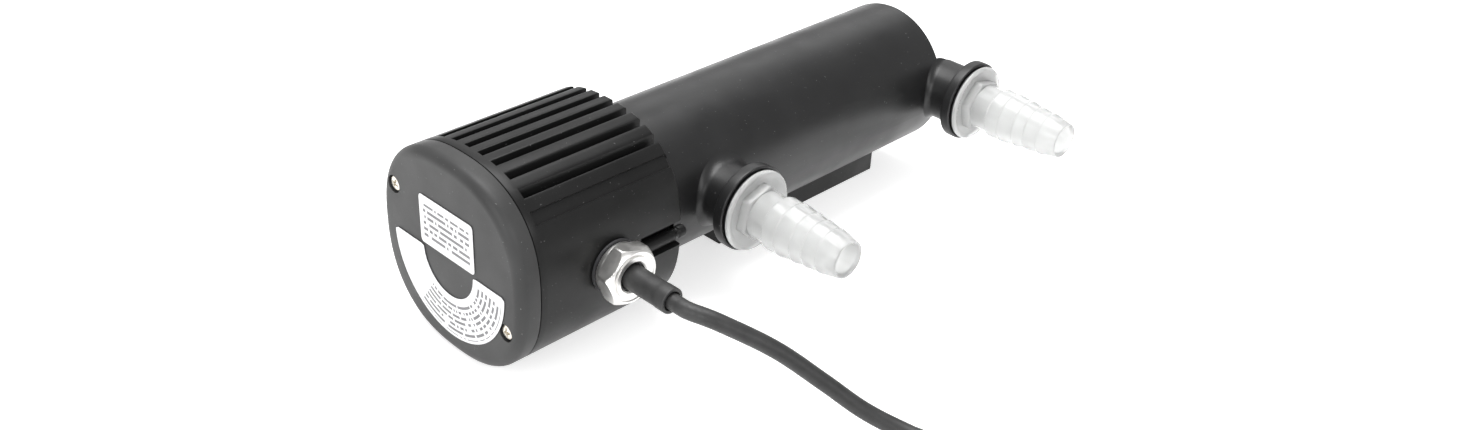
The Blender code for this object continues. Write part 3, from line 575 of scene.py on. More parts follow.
@dataclass
class Studio:
    """The camera, the soft lights and the pale floor."""

    camera_at: tuple = (-592.4, -443.9, 347.8)
    azimuth: float = -46.8
    elevation: float = 31.28
    roll: float = 3.02
    lens: float = 36.27

    def build_camera(self) -> None:
        """Places the camera: its axes are the view's right, up and back turned by the roll."""
        turn, rise, tilt = (math.radians(v) for v in (self.azimuth, self.elevation, self.roll))
        back = np.array((
            math.sin(turn) * math.cos(rise), -math.cos(turn) * math.cos(rise), math.sin(rise)
        ))
        right = np.array((math.cos(turn), math.sin(turn), 0.0))
        up = np.cross(back, right)
        across = math.cos(tilt) * right + math.sin(tilt) * up
        along = -math.sin(tilt) * right + math.cos(tilt) * up
        data = bpy.data.cameras.new("camera")
        data.lens = self.lens
        data.sensor_width = 36.0
        data.sensor_fit = "HORIZONTAL"
        data.clip_start, data.clip_end = 0.01, 50.0
        camera = bpy.data.objects.new("camera", data)
        matrix = Matrix.Identity(4)
        for column, direction in enumerate((across, along, back, placed(self.camera_at))):
            for row in range(3):
                matrix[row][column] = float(direction[row])
        camera.matrix_world = matrix
        bpy.context.scene.collection.objects.link(camera)
        bpy.context.scene.camera = camera

    def light(self, name: str, place: tuple, size: tuple, power: float) -> None:
        """Hangs a soft rectangular light that faces the object.

        Args:
            name: The light's name.
            place: Where it hangs, in metres.
            size: Its two sides, in metres.
            power: Its power, in watts.
        """
        data = bpy.data.lights.new(name, "AREA")
        data.shape = "RECTANGLE"
        data.size, data.size_y = size
        data.energy = power
        lamp = bpy.data.objects.new(name, data)
        lamp.location = place
        lamp.rotation_euler = (Vector((0, 0, 0.05)) - Vector(place)).to_track_quat("-Z", "Y").to_euler()
        bpy.context.scene.collection.objects.link(lamp)

    def build_light(self) -> None:
        """Hangs a large overhead light, a side light, a back light for the tube's highlight, and a fill."""
        self.light("overhead", (0.1, 0.35, 1.5), (1.2, 0.9), 27.0)
        self.light("side", (-0.3, -1.4, 0.9), (1.6, 0.5), 9.0)
        self.light("back", (1.05, 1.0, 0.85), (1.5, 0.6), 3.2)
        self.light("fill", (-1.5, -0.3, 0.8), (0.9, 0.9), 10.0)
        world = bpy.data.worlds.new("studio")
        world.use_nodes = True
        sky = world.node_tree.nodes["Background"]
        sky.inputs["Color"].default_value = (1, 1, 1, 1)
        sky.inputs["Strength"].default_value = 0.5
        bpy.context.scene.world = world
        bpy.context.scene.view_settings.view_transform = "Standard"

    def build_floor(self) -> None:
        """Lays a wide, plain, pale floor just under the object."""
        half, drop = 4000.0, 0.05
        corners = np.array([[(-half, -half), (half, -half)], [(-half, half), (half, half)]])
        height = np.full((2, 2, 1), FLOOR - drop)
        grid = np.concatenate([corners, height], axis=-1)
        mesh = bpy.data.meshes.new("floor")
        mesh.from_pydata(placed(grid).reshape(-1, 3).tolist(), [], [(0, 1, 3, 2)])
        floor = bpy.data.objects.new("floor", mesh)
        bpy.context.scene.collection.objects.link(floor)
        s = Shader("pale_floor")
        tone = s.span(s.noise(3, 2), 0.3, 0.7, (0, 1))
        s.join(s.blend(tone, (0.80, 0.80, 0.80), (0.82, 0.82, 0.82)), s.skin.inputs["Base Color"])
        s.put(Roughness=0.9, Specular_IOR_Level=0.1, Emission_Color=(1, 1, 1, 1), Emission_Strength=0.6)
        mesh.materials.append(s.material)


# ---------------------------------------------------------------- cable and plug

@dataclass
class Cable:
    """The mains cable: a free run, a neat coil of twelve lays and a short end with a two-pin plug."""

    radius: float = 3.8
    coil_centre: tuple = (-238.3, -274.8)
    coil_radius: float = 43.0
    lay_spacing: tuple = (8.0, 7.8)
    lay_turn: float = 315.0
    change_turn: float = 120.0
    plug_rear: float = -190.0
    relief: float = 22.0
    plug_radius: float = 18.0
    plug_length: float = 24.0
    pin_spacing: float = 19.0

    @property
    def floor_height(self) -> float:
        """The height of the cable's middle where it lies on the floor."""
        return FLOOR + self.radius + 0.1

    def free_run(self) -> np.ndarray:
        """The smooth curve from the boot down to the floor and on to the coil's outer turn."""
        low = self.floor_height
        x_in = self.coil_centre[0] + self.coil_radius + self.lay_spacing[0]
        line = smooth_line(np.array([
            (-242.5, -82.5, 0.5), (-242.5, -89, 0.5), (-242.0, -95, 0.4), (-236, -107, -2.0),
            (-221, -125, -13),
            (-208, -141, -27), (-198, -157, -38.5), (-190, -176, low), (-186, -198, low), (-186.5, -220, low),
            (x_in, -242.8, low), (x_in, -262, low),
        ]), 12)
        line[:, 2] = np.maximum(line[:, 2], low)
        return line

    def coil(self) -> np.ndarray:
        """The coil: a circle whose radius and height step by one lay during part of each turn.

        Every lay holds its place but for a stretch where it eases over to the next one, and that stretch
        falls a little earlier in each turn, so that a lay moves only into room already left.
        """
        order = np.array([
            (1, 0), (0, 0), (-1, 0), (-1, 1), (0, 1), (1, 1), (1, 2), (0, 2), (-1, 2), (-1, 3),
            (0, 3), (1, 3),
        ], float)
        angle = np.radians(np.arange(0, self.lay_turn * len(order) + 0.1, 6.0))
        centres = np.radians(self.lay_turn * np.arange(1, len(order)))
        wide = math.radians(self.change_turn)
        share = np.clip((angle[:, None] - centres + wide / 2) / wide, 0, 1)
        ease = share ** 2 * (3 - 2 * share)
        lay = order[0] + ease @ np.diff(order, axis=0)
        radius = self.coil_radius + self.lay_spacing[0] * lay[:, 0]
        return np.stack([
            self.coil_centre[0] + radius * np.cos(-angle),
            self.coil_centre[1] + radius * np.sin(-angle),
            self.floor_height + self.lay_spacing[1] * lay[:, 1],
        ], axis=1)

    def end_run(self, start: np.ndarray) -> np.ndarray:
        """The short curve from the coil's top turn down to the plug, which lies on its side.

        Args:
            start: The coil's last point.

        Returns:
            The curve's points.
        """
        x, y = start[0], self.plug_rear - self.relief
        plug_height = FLOOR + self.plug_radius + 0.1
        return smooth_line(np.array([
            start, (x, start[1] + 12, start[2]), (x, y - 20, plug_height + 3.6), (x, y - 8, plug_height + 0.3),
            (x, y, plug_height), (x, y + 2.0, plug_height),
        ]), 6)

    def build(self, look: Finishes) -> None:
        """Args:
            look: The finishes.
        """
        turns = self.coil()
        line = np.vstack([self.free_run()[:-1], turns[:-1], self.end_run(turns[-1])])
        curve = bpy.data.curves.new("mains_cable", "CURVE")
        curve.dimensions = "3D"
        curve.bevel_depth = self.radius * 0.001
        curve.bevel_resolution = 5
        curve.use_fill_caps = True
        spline = curve.splines.new("POLY")
        spline.points.add(len(line) - 1)
        spline.points.foreach_set("co", np.c_[placed(line), np.ones(len(line))].ravel().astype("f"))
        cable = bpy.data.objects.new("mains_cable", curve)
        bpy.context.scene.collection.objects.link(cable)
        finished(cable, look.jacket, Body.HEAD, ("power_cable", "cable_coil", "cable_end"))
        self.plug(look, float(line[-1][0]))

    def plug(self, look: Finishes, x: float) -> list:
        """Makes the moulded plug: a ribbed tapered relief, a gripped body and two round pins.

        Args:
            look: The finishes.
            x: The plug's axis.

        Returns:
            The plug's pieces.
        """
        at = (x, 0.0, FLOOR + self.plug_radius + 0.1)
        rear, size = self.plug_rear, self.plug_radius
        start = rear - self.relief
        steps = np.linspace(0, 1, 41)
        ribs = 5.0 + 2.8 * steps ** 1.3 - 0.45 * (np.cos(steps * 10 * np.pi) < -0.2)
        outer = np.c_[ribs, start + 0.4 + steps * (self.relief - 0.6)]
        relief = np.vstack([[(0, start), (4.6, start)], outer, [(0, rear - 0.2)]])
        front = rear + 0.3 + self.plug_length
        body = softened([
            (0, rear + 0.3), (10.8, rear + 0.3), (size - 0.6, rear + 9), (size, rear + 12), (size, front - 5),
            (size - 1.2, front - 4.4), (size - 1.2, front), (0, front),
        ], 1.4)
        angle = np.linspace(0, 2 * np.pi, AROUND, endpoint=False)
        grip = np.exp(-((body[:, 1] - rear - 12) / 6) ** 2)[:, None]
        radii = body[:, :1] * (1 - 0.05 * grip * (np.cos(angle * 2) > 0.2))
        pin = softened([
            (0, front + 0.3), (2.4, front + 0.3), (2.4, front + 17.5), (1.5, front + 19), (0, front + 19),
        ], 0.6)
        pieces = [
            finished(turned("plug_strain_relief", relief, Axis.TO_GLAND, at), look.rubber, Body.HEAD,
                     ("plug_relief",)),
            finished(turned("plug_moulding", body, Axis.TO_GLAND, at, radii=radii), look.rubber, Body.HEAD,
                     ("plug_body",)),
        ]
        for k, side in enumerate((-1, 1)):
            place = (x + side * self.pin_spacing / 2, 0.0, at[2])
            pieces.append(finished(
                turned(f"plug_contact_{k + 1}", pin, Axis.TO_GLAND, place, around=48), look.nickel, Body.HEAD,
                (f"plug_pin_{k + 1}",),
            ))
        return pieces


def smooth_line(points: np.ndarray, steps: int) -> np.ndarray:
    """Draws the Catmull-Rom curve through the points, whose slope at each is half its neighbours' difference.

    Args:
        points: The places the curve passes through.
        steps: Points on each stretch.

    Returns:
        The curve's points.
    """
    ends = np.vstack([2 * points[0] - points[1], points, 2 * points[-1] - points[-2]])
    t = np.linspace(0, 1, steps, endpoint=False)[:, None]
    stretches = [
        0.5 * (2 * b + (c - a) * t + (2 * a - 5 * b + 4 * c - d) * t ** 2 + (3 * b - a - 3 * c + d) * t ** 3)
        for a, b, c, d in zip(ends, ends[1:], ends[2:], ends[3:])
    ]
    return np.vstack(stretches + [points[-1:]])


# ---------------------------------------------------------------- lamp head

@dataclass
class HeadOutline:
    """The head's rounded outline, a superellipse whose upper and lower halves differ in height."""

    middle: float = 2.26
    half_width: float = 48.96
    top: float = 46.83
    bottom: float = 49.97
    power: float = 2.43
    flat_reach: float = 36.0

    def height(self, y: np.ndarray, inset: float = 0.0, drop: float = 0.0) -> np.ndarray:
        """The upper half's height at each Y: top times the power root of one less the share to the power."""
        share = np.clip(np.abs(y) / (self.half_width - inset), 0, 1) ** self.power
        return self.middle + (self.top - inset - drop) * (1 - share) ** (1 / self.power)

    def point(self, angle: np.ndarray, inset: float = 0.0) -> np.ndarray:
        """The outline's Y and Z at each angle from +Y: signed powers of the cosine and the sine."""
        across, up = np.cos(angle), np.sin(angle)
        tall = np.where(up >= 0, self.top, self.bottom) - inset
        y = (self.half_width - inset) * np.sign(across) * np.abs(across) ** (2 / self.power)
        z = self.middle + tall * np.sign(up) * np.abs(up) ** (2 / self.power)
        return np.stack([y, z], axis=-1)

    def angle_at(self, z: float) -> float:
        """The angle above or below +Y at which the outline has this height."""
        tall = self.top if z > self.middle else self.bottom
        share = abs(z - self.middle) / tall
        return math.copysign(math.asin(share ** (self.power / 2)), z - self.middle)


@dataclass
class HeadShell:
    """The finned housing: one section carried along X, out over the shell and back through its inside."""

    front: float = -282.0
    rear: float = -202.8
    slots: int = 8
    slot_pitch: float = 9.0
    slot_width: float = 3.6
    slot_depth: float = 7.5
    slot_front: float = -277.6
    fin_edge: float = 0.55
    panel_front: float = -278.4
    panel: tuple = (38.2, 41.8)
    pocket_front: float = -227.0
    pocket_z: tuple = (-4.9, 7.0)
    pocket_floor: float = 41.5
    socket: float = 38.1
    bulkhead: tuple = (-228.5, -225.5)
    lamp_passage: float = 18.2
    rear_round: float = 1.1
    panel_depth: float = 1.1
    cavity_share: float = 0.93

    def top_stations(self, outline: HeadOutline) -> tuple:
        """Lists the section's points over the slotted top, from -Y to +Y.

        Args:
            outline: The head's outline.

        Returns:
            Y of each point, and the height it sinks to inside the slots.
        """
        ys: list = []
        sunk: list = []
        edge = self.fin_edge
        reach = outline.flat_reach
        left = -reach
        for k in range(self.slots):
            middle = (k - (self.slots - 1) / 2) * self.slot_pitch
            low, high = middle - self.slot_width / 2, middle + self.slot_width / 2
            floor = float(outline.height(np.array(middle))) - self.slot_depth
            ridge = np.linspace(left, low - edge, 5)
            ys += ridge.tolist()
            sunk += outline.height(ridge).tolist()
            for y, drop in ((low - edge * 0.3, edge * 0.3), (low, edge)):
                ys.append(y)
                sunk.append(float(outline.height(np.array(y))) - drop)
            ys += [low, low + 0.5, middle, high - 0.5, high]
            sunk += [floor + 0.5, floor, floor, floor, floor + 0.5]
            for y, drop in ((high, edge), (high + edge * 0.3, edge * 0.3)):
                ys.append(y)
                sunk.append(float(outline.height(np.array(y))) - drop)
            left = high + edge
        ridge = np.linspace(left, reach, 5)
        return np.array(ys + ridge.tolist()), np.array(sunk + outline.height(ridge).tolist())

    def side_angles(self, outline: HeadOutline, side: int) -> np.ndarray:
        """The angles above one side's middle, up to the slotted top, with pairs at the steps in the skin.

        Args:
            outline: The head's outline.
            side: 1 for +Y and -1 for -Y.

        Returns:
            Rising angles from +Y, for the +Y side. The other side mirrors them.
        """
        limit = math.acos((outline.flat_reach / outline.half_width) ** (outline.power / 2))
        plain = np.linspace(0.0, limit, 26)[1:-1]
        steps = [math.acos((y / outline.half_width) ** (outline.power / 2)) for y in self.panel]
        marks = []
        for angle in steps:
            marks += [angle - 0.006, angle + 0.006]
        if side < 0:
            above = outline.angle_at(self.pocket_z[1])
            marks += [above, above + 1e-5, above + 0.012]
        return np.sort(np.concatenate([plain, marks]))

    def build(self, outline: HeadOutline) -> bpy.types.Object:
        """Makes the shell: rings with the same points run over the outside, in through the socket and back.

        Args:
            outline: The head's outline.

        Returns:
            The shell.
        """
        ys, sunk = self.top_stations(outline)
        right, left = self.side_angles(outline, 1), self.side_angles(outline, -1)
        below_pocket = outline.angle_at(self.pocket_z[0])
        under = np.linspace(0.0, -np.pi, 74)
        under = np.sort(np.concatenate([under, [-np.pi - below_pocket, -np.pi - below_pocket + 1e-5,
                                                -np.pi - below_pocket + 0.012]]))[::-1]
        side_angle = np.concatenate([under, (np.pi - left), right[::-1]])
        is_left = len(under) + len(left)
        count = len(side_angle) + len(ys)
        side_count = len(side_angle)
        order = np.r_[np.arange(is_left), np.arange(side_count, count), np.arange(is_left, side_count)]

        def ring(x: float, inset: float = 0.0, slotted: float = 1.0, panel: float = 1.0, pocket: float = 0.0,
                 ) -> np.ndarray:
            """One ring of the outer skin: the outline, sunk in the slots, the panels and the lock's pocket.

            Args:
                x: The ring's place along X.
                inset: How far the outline is drawn in.
                slotted: 1 where the slots are cut, otherwise 0.
                panel: 1 where the side panels are sunk, otherwise 0.
                pocket: 1 where the lock's pocket is cut, otherwise 0.

            Returns:
                The ring's points.
            """
            sides = outline.point(side_angle, inset)
            y, z = sides[:, 0], sides[:, 1]
            in_panel = (np.abs(y) > self.panel[0]) & (np.abs(y) < self.panel[1]) & (z > outline.middle + 8)
            shift = self.panel_depth * panel * in_panel
            y, z = y - np.sign(y) * shift * 0.75, z - shift * 0.66
            in_pocket = (y < -40) & (z > self.pocket_z[0] - 0.004) & (z < self.pocket_z[1] + 0.004)
            y = np.where(in_pocket & (pocket > 0), -self.pocket_floor, y)
            full = outline.height(ys, inset)
            top = np.where(slotted > 0, np.minimum(full, sunk), full)
            both = np.vstack([np.stack([y, z], 1), np.stack([ys, top], 1)])[order]
            return np.c_[np.full(count, x), both]

        def inner(x: float, share: float) -> np.ndarray:
            """A ring below the slots' floors: the outline shrunk by a few millimetres.

            Args:
                x: The ring's place along X.
                share: A further scale, about the tube's axis.

            Returns:
                The ring's points.
            """
            sides = outline.point(side_angle)
            steep = np.clip(np.sin(side_angle), 0, 1) ** 0.7
            y = sides[:, 0] - 5.0 * np.sign(sides[:, 0]) * (1 - steep) * np.abs(np.cos(side_angle)) ** 0.3
            z = sides[:, 1] - np.where(np.sin(side_angle) > 0, 7.4 * steep, -5.0 * -np.sin(side_angle))
            both = np.vstack([np.stack([y, z], 1), np.stack([ys, outline.height(ys, 0.0, 9.2)], 1)])[order]
            return np.c_[np.full(count, x), both * share]

        face = inner(self.rear, 1.0)
        bearing = np.arctan2(face[:, 2], face[:, 1])

        def circle(x: float, radius: float) -> np.ndarray:
            """A round ring at this place along X."""
            return np.stack([np.full(count, x), radius * np.cos(bearing), radius * np.sin(bearing)], axis=1)

        rear = self.rear
        lip = ((0, 0.35), (0.12, 0.1), (0.4, 0))
        rings = [ring(self.front + back, inset, 0, 0) for back, inset in lip]
        rings += [ring(self.panel_front, 0, 0, 0), ring(self.panel_front + 0.3, 0, 0, 1)]
        rings += [ring(self.slot_front - 0.01, 0, 0), ring(self.slot_front + 0.01)]
        rings += [ring(self.pocket_front - 0.01), ring(self.pocket_front + 0.01, pocket=1)]
        fillet = self.rear_round
        for turn in np.linspace(0, np.pi / 2, 6):
            x = rear - fillet * (1 - math.sin(turn))
            rings.append(ring(x, fillet * 0.8 * (1 - math.cos(turn)), pocket=1))
        rings += [face, circle(rear, self.socket + 0.8), circle(rear - 0.8, self.socket)]
        rings += [circle(self.bulkhead[1], self.socket), circle(self.bulkhead[1], self.lamp_passage)]
        rings += [circle(self.bulkhead[0], self.lamp_passage), inner(self.bulkhead[0], self.cavity_share)]
        rings += [inner(self.front, self.cavity_share)]
        return surface("head_shell", np.array(rings), ring_closed=True, sharp=28)


@dataclass
class EndCap:
    """The end cap: a shallow pan with a softly rounded rim, two screw recesses and two labels."""

    face: float = -293.0
    back: float = -282.3
    rounding: float = 5.0
    wall: float = 3.0
    screws: tuple = ((38.0, 21.5), (-38.0, -17.0))
    seat: float = -289.2
    recess: float = 4.2
    screw_dome: float = 3.1
    screw_flat: float = 3.2
    screw_head: float = 3.7
    shank: float = 1.65

    def build_pan(self, outline: HeadOutline) -> bpy.types.Object:
        """Makes the pan: outline rings run from the inside floor, over the rim, to the face.

        Args:
            outline: The head's outline.

        Returns:
            The pan.
        """
        angle = np.linspace(0, 2 * np.pi, 288, endpoint=False)

        def ring(x: float, inset: float) -> np.ndarray:
            """The outline, drawn in by the inset, at one place along X."""
            return np.c_[np.full(len(angle), x), outline.point(angle, inset)]

        rings = [ring(self.face + self.wall, self.wall), ring(self.back, self.wall), ring(self.back, 0.3)]
        rings += [ring(self.back - 0.12, 0.08), ring(self.back - 0.35, 0.0)]
        for turn in np.linspace(0, np.pi / 2, 13):
            rings.append(ring(
                self.face + self.rounding * (1 - math.sin(turn)), self.rounding * (1 - math.cos(turn))
            ))
        item = surface("end_cap", np.array(rings), sharp=40)
        for k, (y, z) in enumerate(self.screws):
            for name, radius, reach in (("recess", self.recess, self.seat), ("hole", 1.9, self.face + 9)):
                profile = [(0, self.face - 4), (radius, self.face - 4), (radius, reach), (0, reach)]
                carved(item, turned(f"{name}_{k}", profile, Axis.ALONG_TUBE, (0, y, z), around=48))
        return item

    def build_screw(self, name: str, y: float, z: float, spin: float) -> bpy.types.Object:
        """Makes a pan-head screw: a dome over the polar grid, sunk along a cross in its middle.

        The height is the dome's less a shallow paraboloid. The cross sinks it where one of the two turned
        coordinates is near zero and the other short.

        Args:
            name: The screw's name.
            y: Its place across the cap.
            z: Its height on the cap.
            spin: How far its cross is turned.

        Returns:
            The screw.
        """
        angle = np.linspace(0, 2 * np.pi, 96, endpoint=False)
        flat, head = self.screw_flat, self.screw_head
        radius = np.concatenate([np.linspace(0.02, flat, 30), [head - 0.2, head - 0.02, head]])[:, None]
        one, two = radius * np.cos(angle - spin), radius * np.sin(angle - spin)

        def slot(across: np.ndarray, along: np.ndarray) -> np.ndarray:
            """One arm of the cross, as a share from 0 to 1."""
            wide = 0.5 * (1 - np.tanh((np.abs(across) - 0.48) / 0.07))
            return wide * 0.5 * (1 - np.tanh((np.abs(along) - 1.9) / 0.15))

        sink = np.maximum(slot(one, two), slot(two, one)) * 1.3
        dome = self.screw_dome - 0.5 * (radius / flat) ** 2 - 5.0 * np.clip(radius - flat, 0, 1) ** 2
        height = dome - sink
        skirt = [(head, 0.0), (self.shank, 0.0), (self.shank, -12.0), (0.5, -13.5), (0.0, -13.5)]
        x = np.vstack([height, [np.full(96, h) for _, h in skirt]])
        r = np.vstack([radius * np.ones(96), [np.full(96, r) for r, _ in skirt]])
        grid = np.stack([self.seat - 0.3 - x, y + r * np.cos(angle), z + r * np.sin(angle)], axis=-1)
        return surface(name, grid, sharp=25)

    def build_label(self, name: str, edge: np.ndarray, ridge: np.ndarray) -> bpy.types.Object:
        """Makes a label: a strip between two lines of points in Y and Z, 0.2 mm thick, on the cap's face.

        Args:
            name: The label's name.
            edge: The first line.
            ridge: The second line.

        Returns:
            The label.
        """
        shares = np.linspace(0, 1, 3)[:, None, None]
        flat = edge * (1 - shares) + ridge * shares
        loop = np.vstack([flat[0], flat[1:-1, -1], flat[-1][::-1], flat[1:-1, 0][::-1]])
        low, high = self.face - 0.25, self.face - 0.45
        rings = [np.c_[np.full(len(loop), x), loop] for x in (low, high)]
        return surface(name, np.array(rings))

    def build_labels(self, look: Finishes) -> None:
        """Makes the ruled rectangular label and the half-ring label, both with rounded corners.

        Args:
            look: The finishes.
        """
        t = np.linspace(-1, 1, 81)
        past = np.clip((np.abs(t) * 18.75 - 16.95) / 1.8, 0, 1)
        half = 12.0 - 1.8 + 1.8 * np.sqrt(np.clip(1 - past ** 2, 0, 1))
        upper = np.stack([t * 18.75, 14.2 + half], axis=1)
        lower = np.stack([t * 18.75, 14.2 - half], axis=1)
        rating = self.build_label("rating_plate", lower, upper)
        finished(rating, look.rating, Body.HEAD, ("rating_label",))
        bearing = np.pi + np.linspace(0, np.pi, 121)
        reach = np.minimum(np.linspace(0, np.pi, 121), np.linspace(np.pi, 0, 121)) * 38.5
        trim = 1.8 - np.sqrt(np.clip(1.8 ** 2 - np.clip(1.8 - reach, 0, 1.8) ** 2, 0, None))
        rims = [
            np.stack([radius * np.cos(bearing), 0.4 + radius * np.sin(bearing)], axis=1)
            for radius in (38.5 - trim, 17.5 + trim)
        ]
        notice = self.build_label("notice_plate", rims[0], rims[1])
        finished(notice, look.notice, Body.HEAD, ("notice_label",))

    def build(self, outline: HeadOutline, look: Finishes) -> None:
        """Makes and dresses the cap, its screws and its labels.

        Args:
            outline: The head's outline.
            look: The finishes.
        """
        finished(self.build_pan(outline), look.cap, Body.HEAD, ("end_cover",))
        for k, (y, z) in enumerate(self.screws):
            screw = self.build_screw(f"cap_screw_{k + 1}", y, z, 0.4 + k)
            finished(screw, look.screw, Body.HEAD, (f"cover_screw_{k + 1}",))
        self.build_labels(look)


@dataclass
class Gland:
    """The plated cable gland, with its hexagonal clamp nut, and the cable's rubber boot."""

    x: float = -242.5
    z: float = 0.5
    back: float = 53.5
    front: float = 62.0
    corner: float = 14.6
    spin: float = 0.33

    def build_nut(self) -> bpy.types.Object:
        """Makes the nut: each row is the lesser of a hexagon's radius and a cone's, so corners are turned off."""
        angle = np.linspace(0, 2 * np.pi, 288, endpoint=False)
        rows = [(self.back, 13.0)]
        rows += [(self.back + 1.2 * t, 13.0 + 1.7 * math.sqrt(t)) for t in (0.1, 0.4, 1.0)]
        rows += [(self.front - 3.4 * (1 - t), 14.7 - 2.7 * t ** 1.6) for t in np.linspace(0, 1, 12)]
        six = hexagon(angle - np.pi / 6, self.corner, self.spin, 0.985)
        outer = np.array([np.minimum(six, cone) for _, cone in rows])
        heights = [h for h, _ in rows]
        face = self.front
        inner = [
            (11.4, face), (11.0, face - 0.6), (9.9, face - 0.9), (9.6, face - 0.3), (7.6, face - 0.3),
            (6.9, face - 0.9), (6.9, face - 1.6), (9.9, face - 1.7), (9.9, self.back),
        ]
        radii = np.vstack([outer, [np.full(len(angle), r) for r, _ in inner]])
        profile = np.c_[radii[:, 0], heights + [h for _, h in inner]]
        return turned("clamp_nut", profile, Axis.TO_TAILS, (self.x, 0, self.z), True, len(angle), radii, 24)

    def build(self, look: Finishes) -> None:
        """Makes and dresses the gland's shown pieces.

        Args:
            look: The finishes.
        """
        at = (self.x, 0.0, self.z)
        finished(self.build_nut(), look.nickel, Body.GLAND_NUT, ("gland_nut",))
        collar = softened([
            (6.3, 57.4), (9.4, 57.4), (9.4, 53.2), (11.9, 53.2), (11.9, 50.4), (9.6, 50.4),
            (9.6, 38.0), (6.3, 38.0),
        ], 0.5)
        collar_piece = turned("gland_collar", collar, Axis.TO_TAILS, at, True)
        finished(collar_piece, look.nickel, Body.HEAD, ("gland_body",))
        boot = softened([
            (0, 46), (5.8, 46), (5.8, 64), (5.75, 78), (5.95, 80), (5.95, 85.2), (5.5, 85.5), (4.3, 85.3),
            (4.1, 82.0), (0, 82.0),
        ], 0.5)
        finished(turned("boot", boot, Axis.TO_TAILS, at), look.jacket, Body.HEAD, ("cable_boot",))


# ---------------------------------------------------------------- tube

@dataclass
class WaterTube:
    """The tube with its closed end, its two ports and the foot."""

    radius: float = 37.5
    bore: float = 33.5
    mouth: float = -222.2
    end_round: float = 1.6
    port_z: float = 1.0
    stub: float = 15.6
    inlet_x: float = -164.2
    outlet_x: float = 3.0

    def build_shell(self) -> bpy.types.Object:
        """Makes the tube: a cup turned about X, with a groove for the O-ring at its mouth."""
        m, r, e = self.mouth, self.radius, self.end_round
        profile = softened([
            (0, 0), (r, 0), (r, m + 12.8), (35.4, m + 12.8), (35.4, m + 10), (r, m + 10),
            (r, m + 0.8), (r - 0.8, m),
            (self.bore + 0.5, m), (self.bore, m + 0.5), (self.bore, -3), (0, -3),
        ], e, 6)
        item = turned("tube_shell", profile, Axis.ALONG_TUBE, (0, 0, 0), around=192)
        for name, x in (("inlet", self.inlet_x), ("outlet", self.outlet_x)):
            hole = [(0, 8), (10.4, 8), (10.4, 60), (0, 60)]
            carved(item, turned(f"{name}_hole", hole, Axis.TO_TAILS, (x, 0, self.port_z), around=64))
        return item

    def build_port(self, name: str, x: float, outlet: bool) -> bpy.types.Object:
        """Makes a port: a stub that flares onto the tube along a quarter circle, with a stepped rim.

        At each angle the flare starts where a cylinder of that radius meets the tube, whose height there is
        the root of the tube's radius squared less Z squared.

        Args:
            name: The port's name.
            x: Its place along the tube.
            outlet: True for the port that stands half past the tube's closed end.

        Returns:
            The port.
        """
        angle = np.linspace(0, 2 * np.pi, 192, endpoint=False)

        def tube_height(radius: np.ndarray) -> np.ndarray:
            """How far out the tube's skin is at this radius round the port."""
            z = self.port_z + radius * np.sin(angle)
            return np.sqrt(np.clip(self.radius ** 2 - z ** 2, 0, None))

        beyond = np.clip(0.35 - 1.6 * np.cos(angle), 0, 1) if outlet else np.ones(len(angle))
        flare = (4.2 if not outlet else 3.4) * beyond
        radii: list = []
        heights: list = []
        for turn in np.linspace(0, np.pi / 2, 9):
            radius = self.stub + flare * (1 - math.sin(turn))
            radii.append(radius)
            heights.append(tube_height(radius) - 0.25 + (flare + 0.25) * (1 - math.cos(turn)))
        rim = softened([
            (self.stub, 44), (self.stub, 49.6), (16.2, 50.5), (20.6, 50.7), (21.0, 51.1),
            (21.0, 55.8), (20.6, 56.2),
            (19.9, 56.2), (19.6, 55.9), (13.6, 55.9), (13.4, 55.6), (13.4, 45.0), (10.5, 45.0),
            (10.5, 14.0 if outlet else 32.0),
        ], 0.6, 3)
        for radius, height in rim:
            radii.append(np.full(len(angle), radius))
            heights.append(np.full(len(angle), height))
        if outlet:
            for radius, height in ((10.5, 10.0), (0, 10.0), (0, 5.0), (10.0, 5.0), (13.0, 8.0), (13.0, 31.0),
                                   (14.4, 33.6)):
                radii.append(np.full(len(angle), radius))
                heights.append(np.full(len(angle), height))
        else:
            radii.append(self.stub + flare)
            heights.append(tube_height(self.stub + flare) - 2.2)
        r, h = np.array(radii), np.array(heights)
        grid = np.stack([x + r * np.cos(angle), -h, self.port_z + r * np.sin(angle)], axis=-1)
        item = surface(name, grid, ring_closed=True, sharp=30)
        if outlet:
            room = self.bore - 0.05
            chamber = [(0, self.mouth), (room, self.mouth), (room, -3.0), (0, -3.0)]
            carved(item, turned("chamber", chamber, Axis.ALONG_TUBE, (0, 0, 0)))
        return item

    def build_foot(self) -> bpy.types.Object:
        """Makes the foot: a section with a saddle on top for the tube, carried along X to square ends."""
        half, reach = 14.8, self.radius + 0.1
        arc = np.linspace(-half, half, 33)
        saddle = np.stack([arc, -np.sqrt(reach ** 2 - arc ** 2)], axis=1)
        below = softened([
            (half, saddle[-1, 1] + 0.01), (half, FLOOR), (-half, FLOOR), (-half, saddle[0, 1] + 0.01),
        ], 0.8, 5)
        loop = np.vstack([saddle, below[1:-1]])
        middle = loop.mean(axis=0)
        rows = [(-141.9, 0.985), (-141.5, 1.0), (-100.0, 1.0), (-60.0, 1.0), (-24.9, 1.0), (-24.5, 0.985)]
        rings = [np.c_[np.full(len(loop), x), middle + (loop - middle) * share] for x, share in rows]
        return surface("foot_bar", np.array(rings))

    def build(self, look: Finishes) -> None:
        """Makes and dresses the tube, its ports and its foot.

        Args:
            look: The finishes.
        """
        finished(self.build_shell(), look.tube, Body.TUBE, ("tube_body",))
        for name, x, outlet in (("inlet_port", self.inlet_x, False), ("outlet_port", self.outlet_x, True)):
            finished(self.build_port(name, x, outlet), look.tube, Body.TUBE, ())
        finished(self.build_foot(), look.shell, Body.TUBE, ("mounting_foot",))


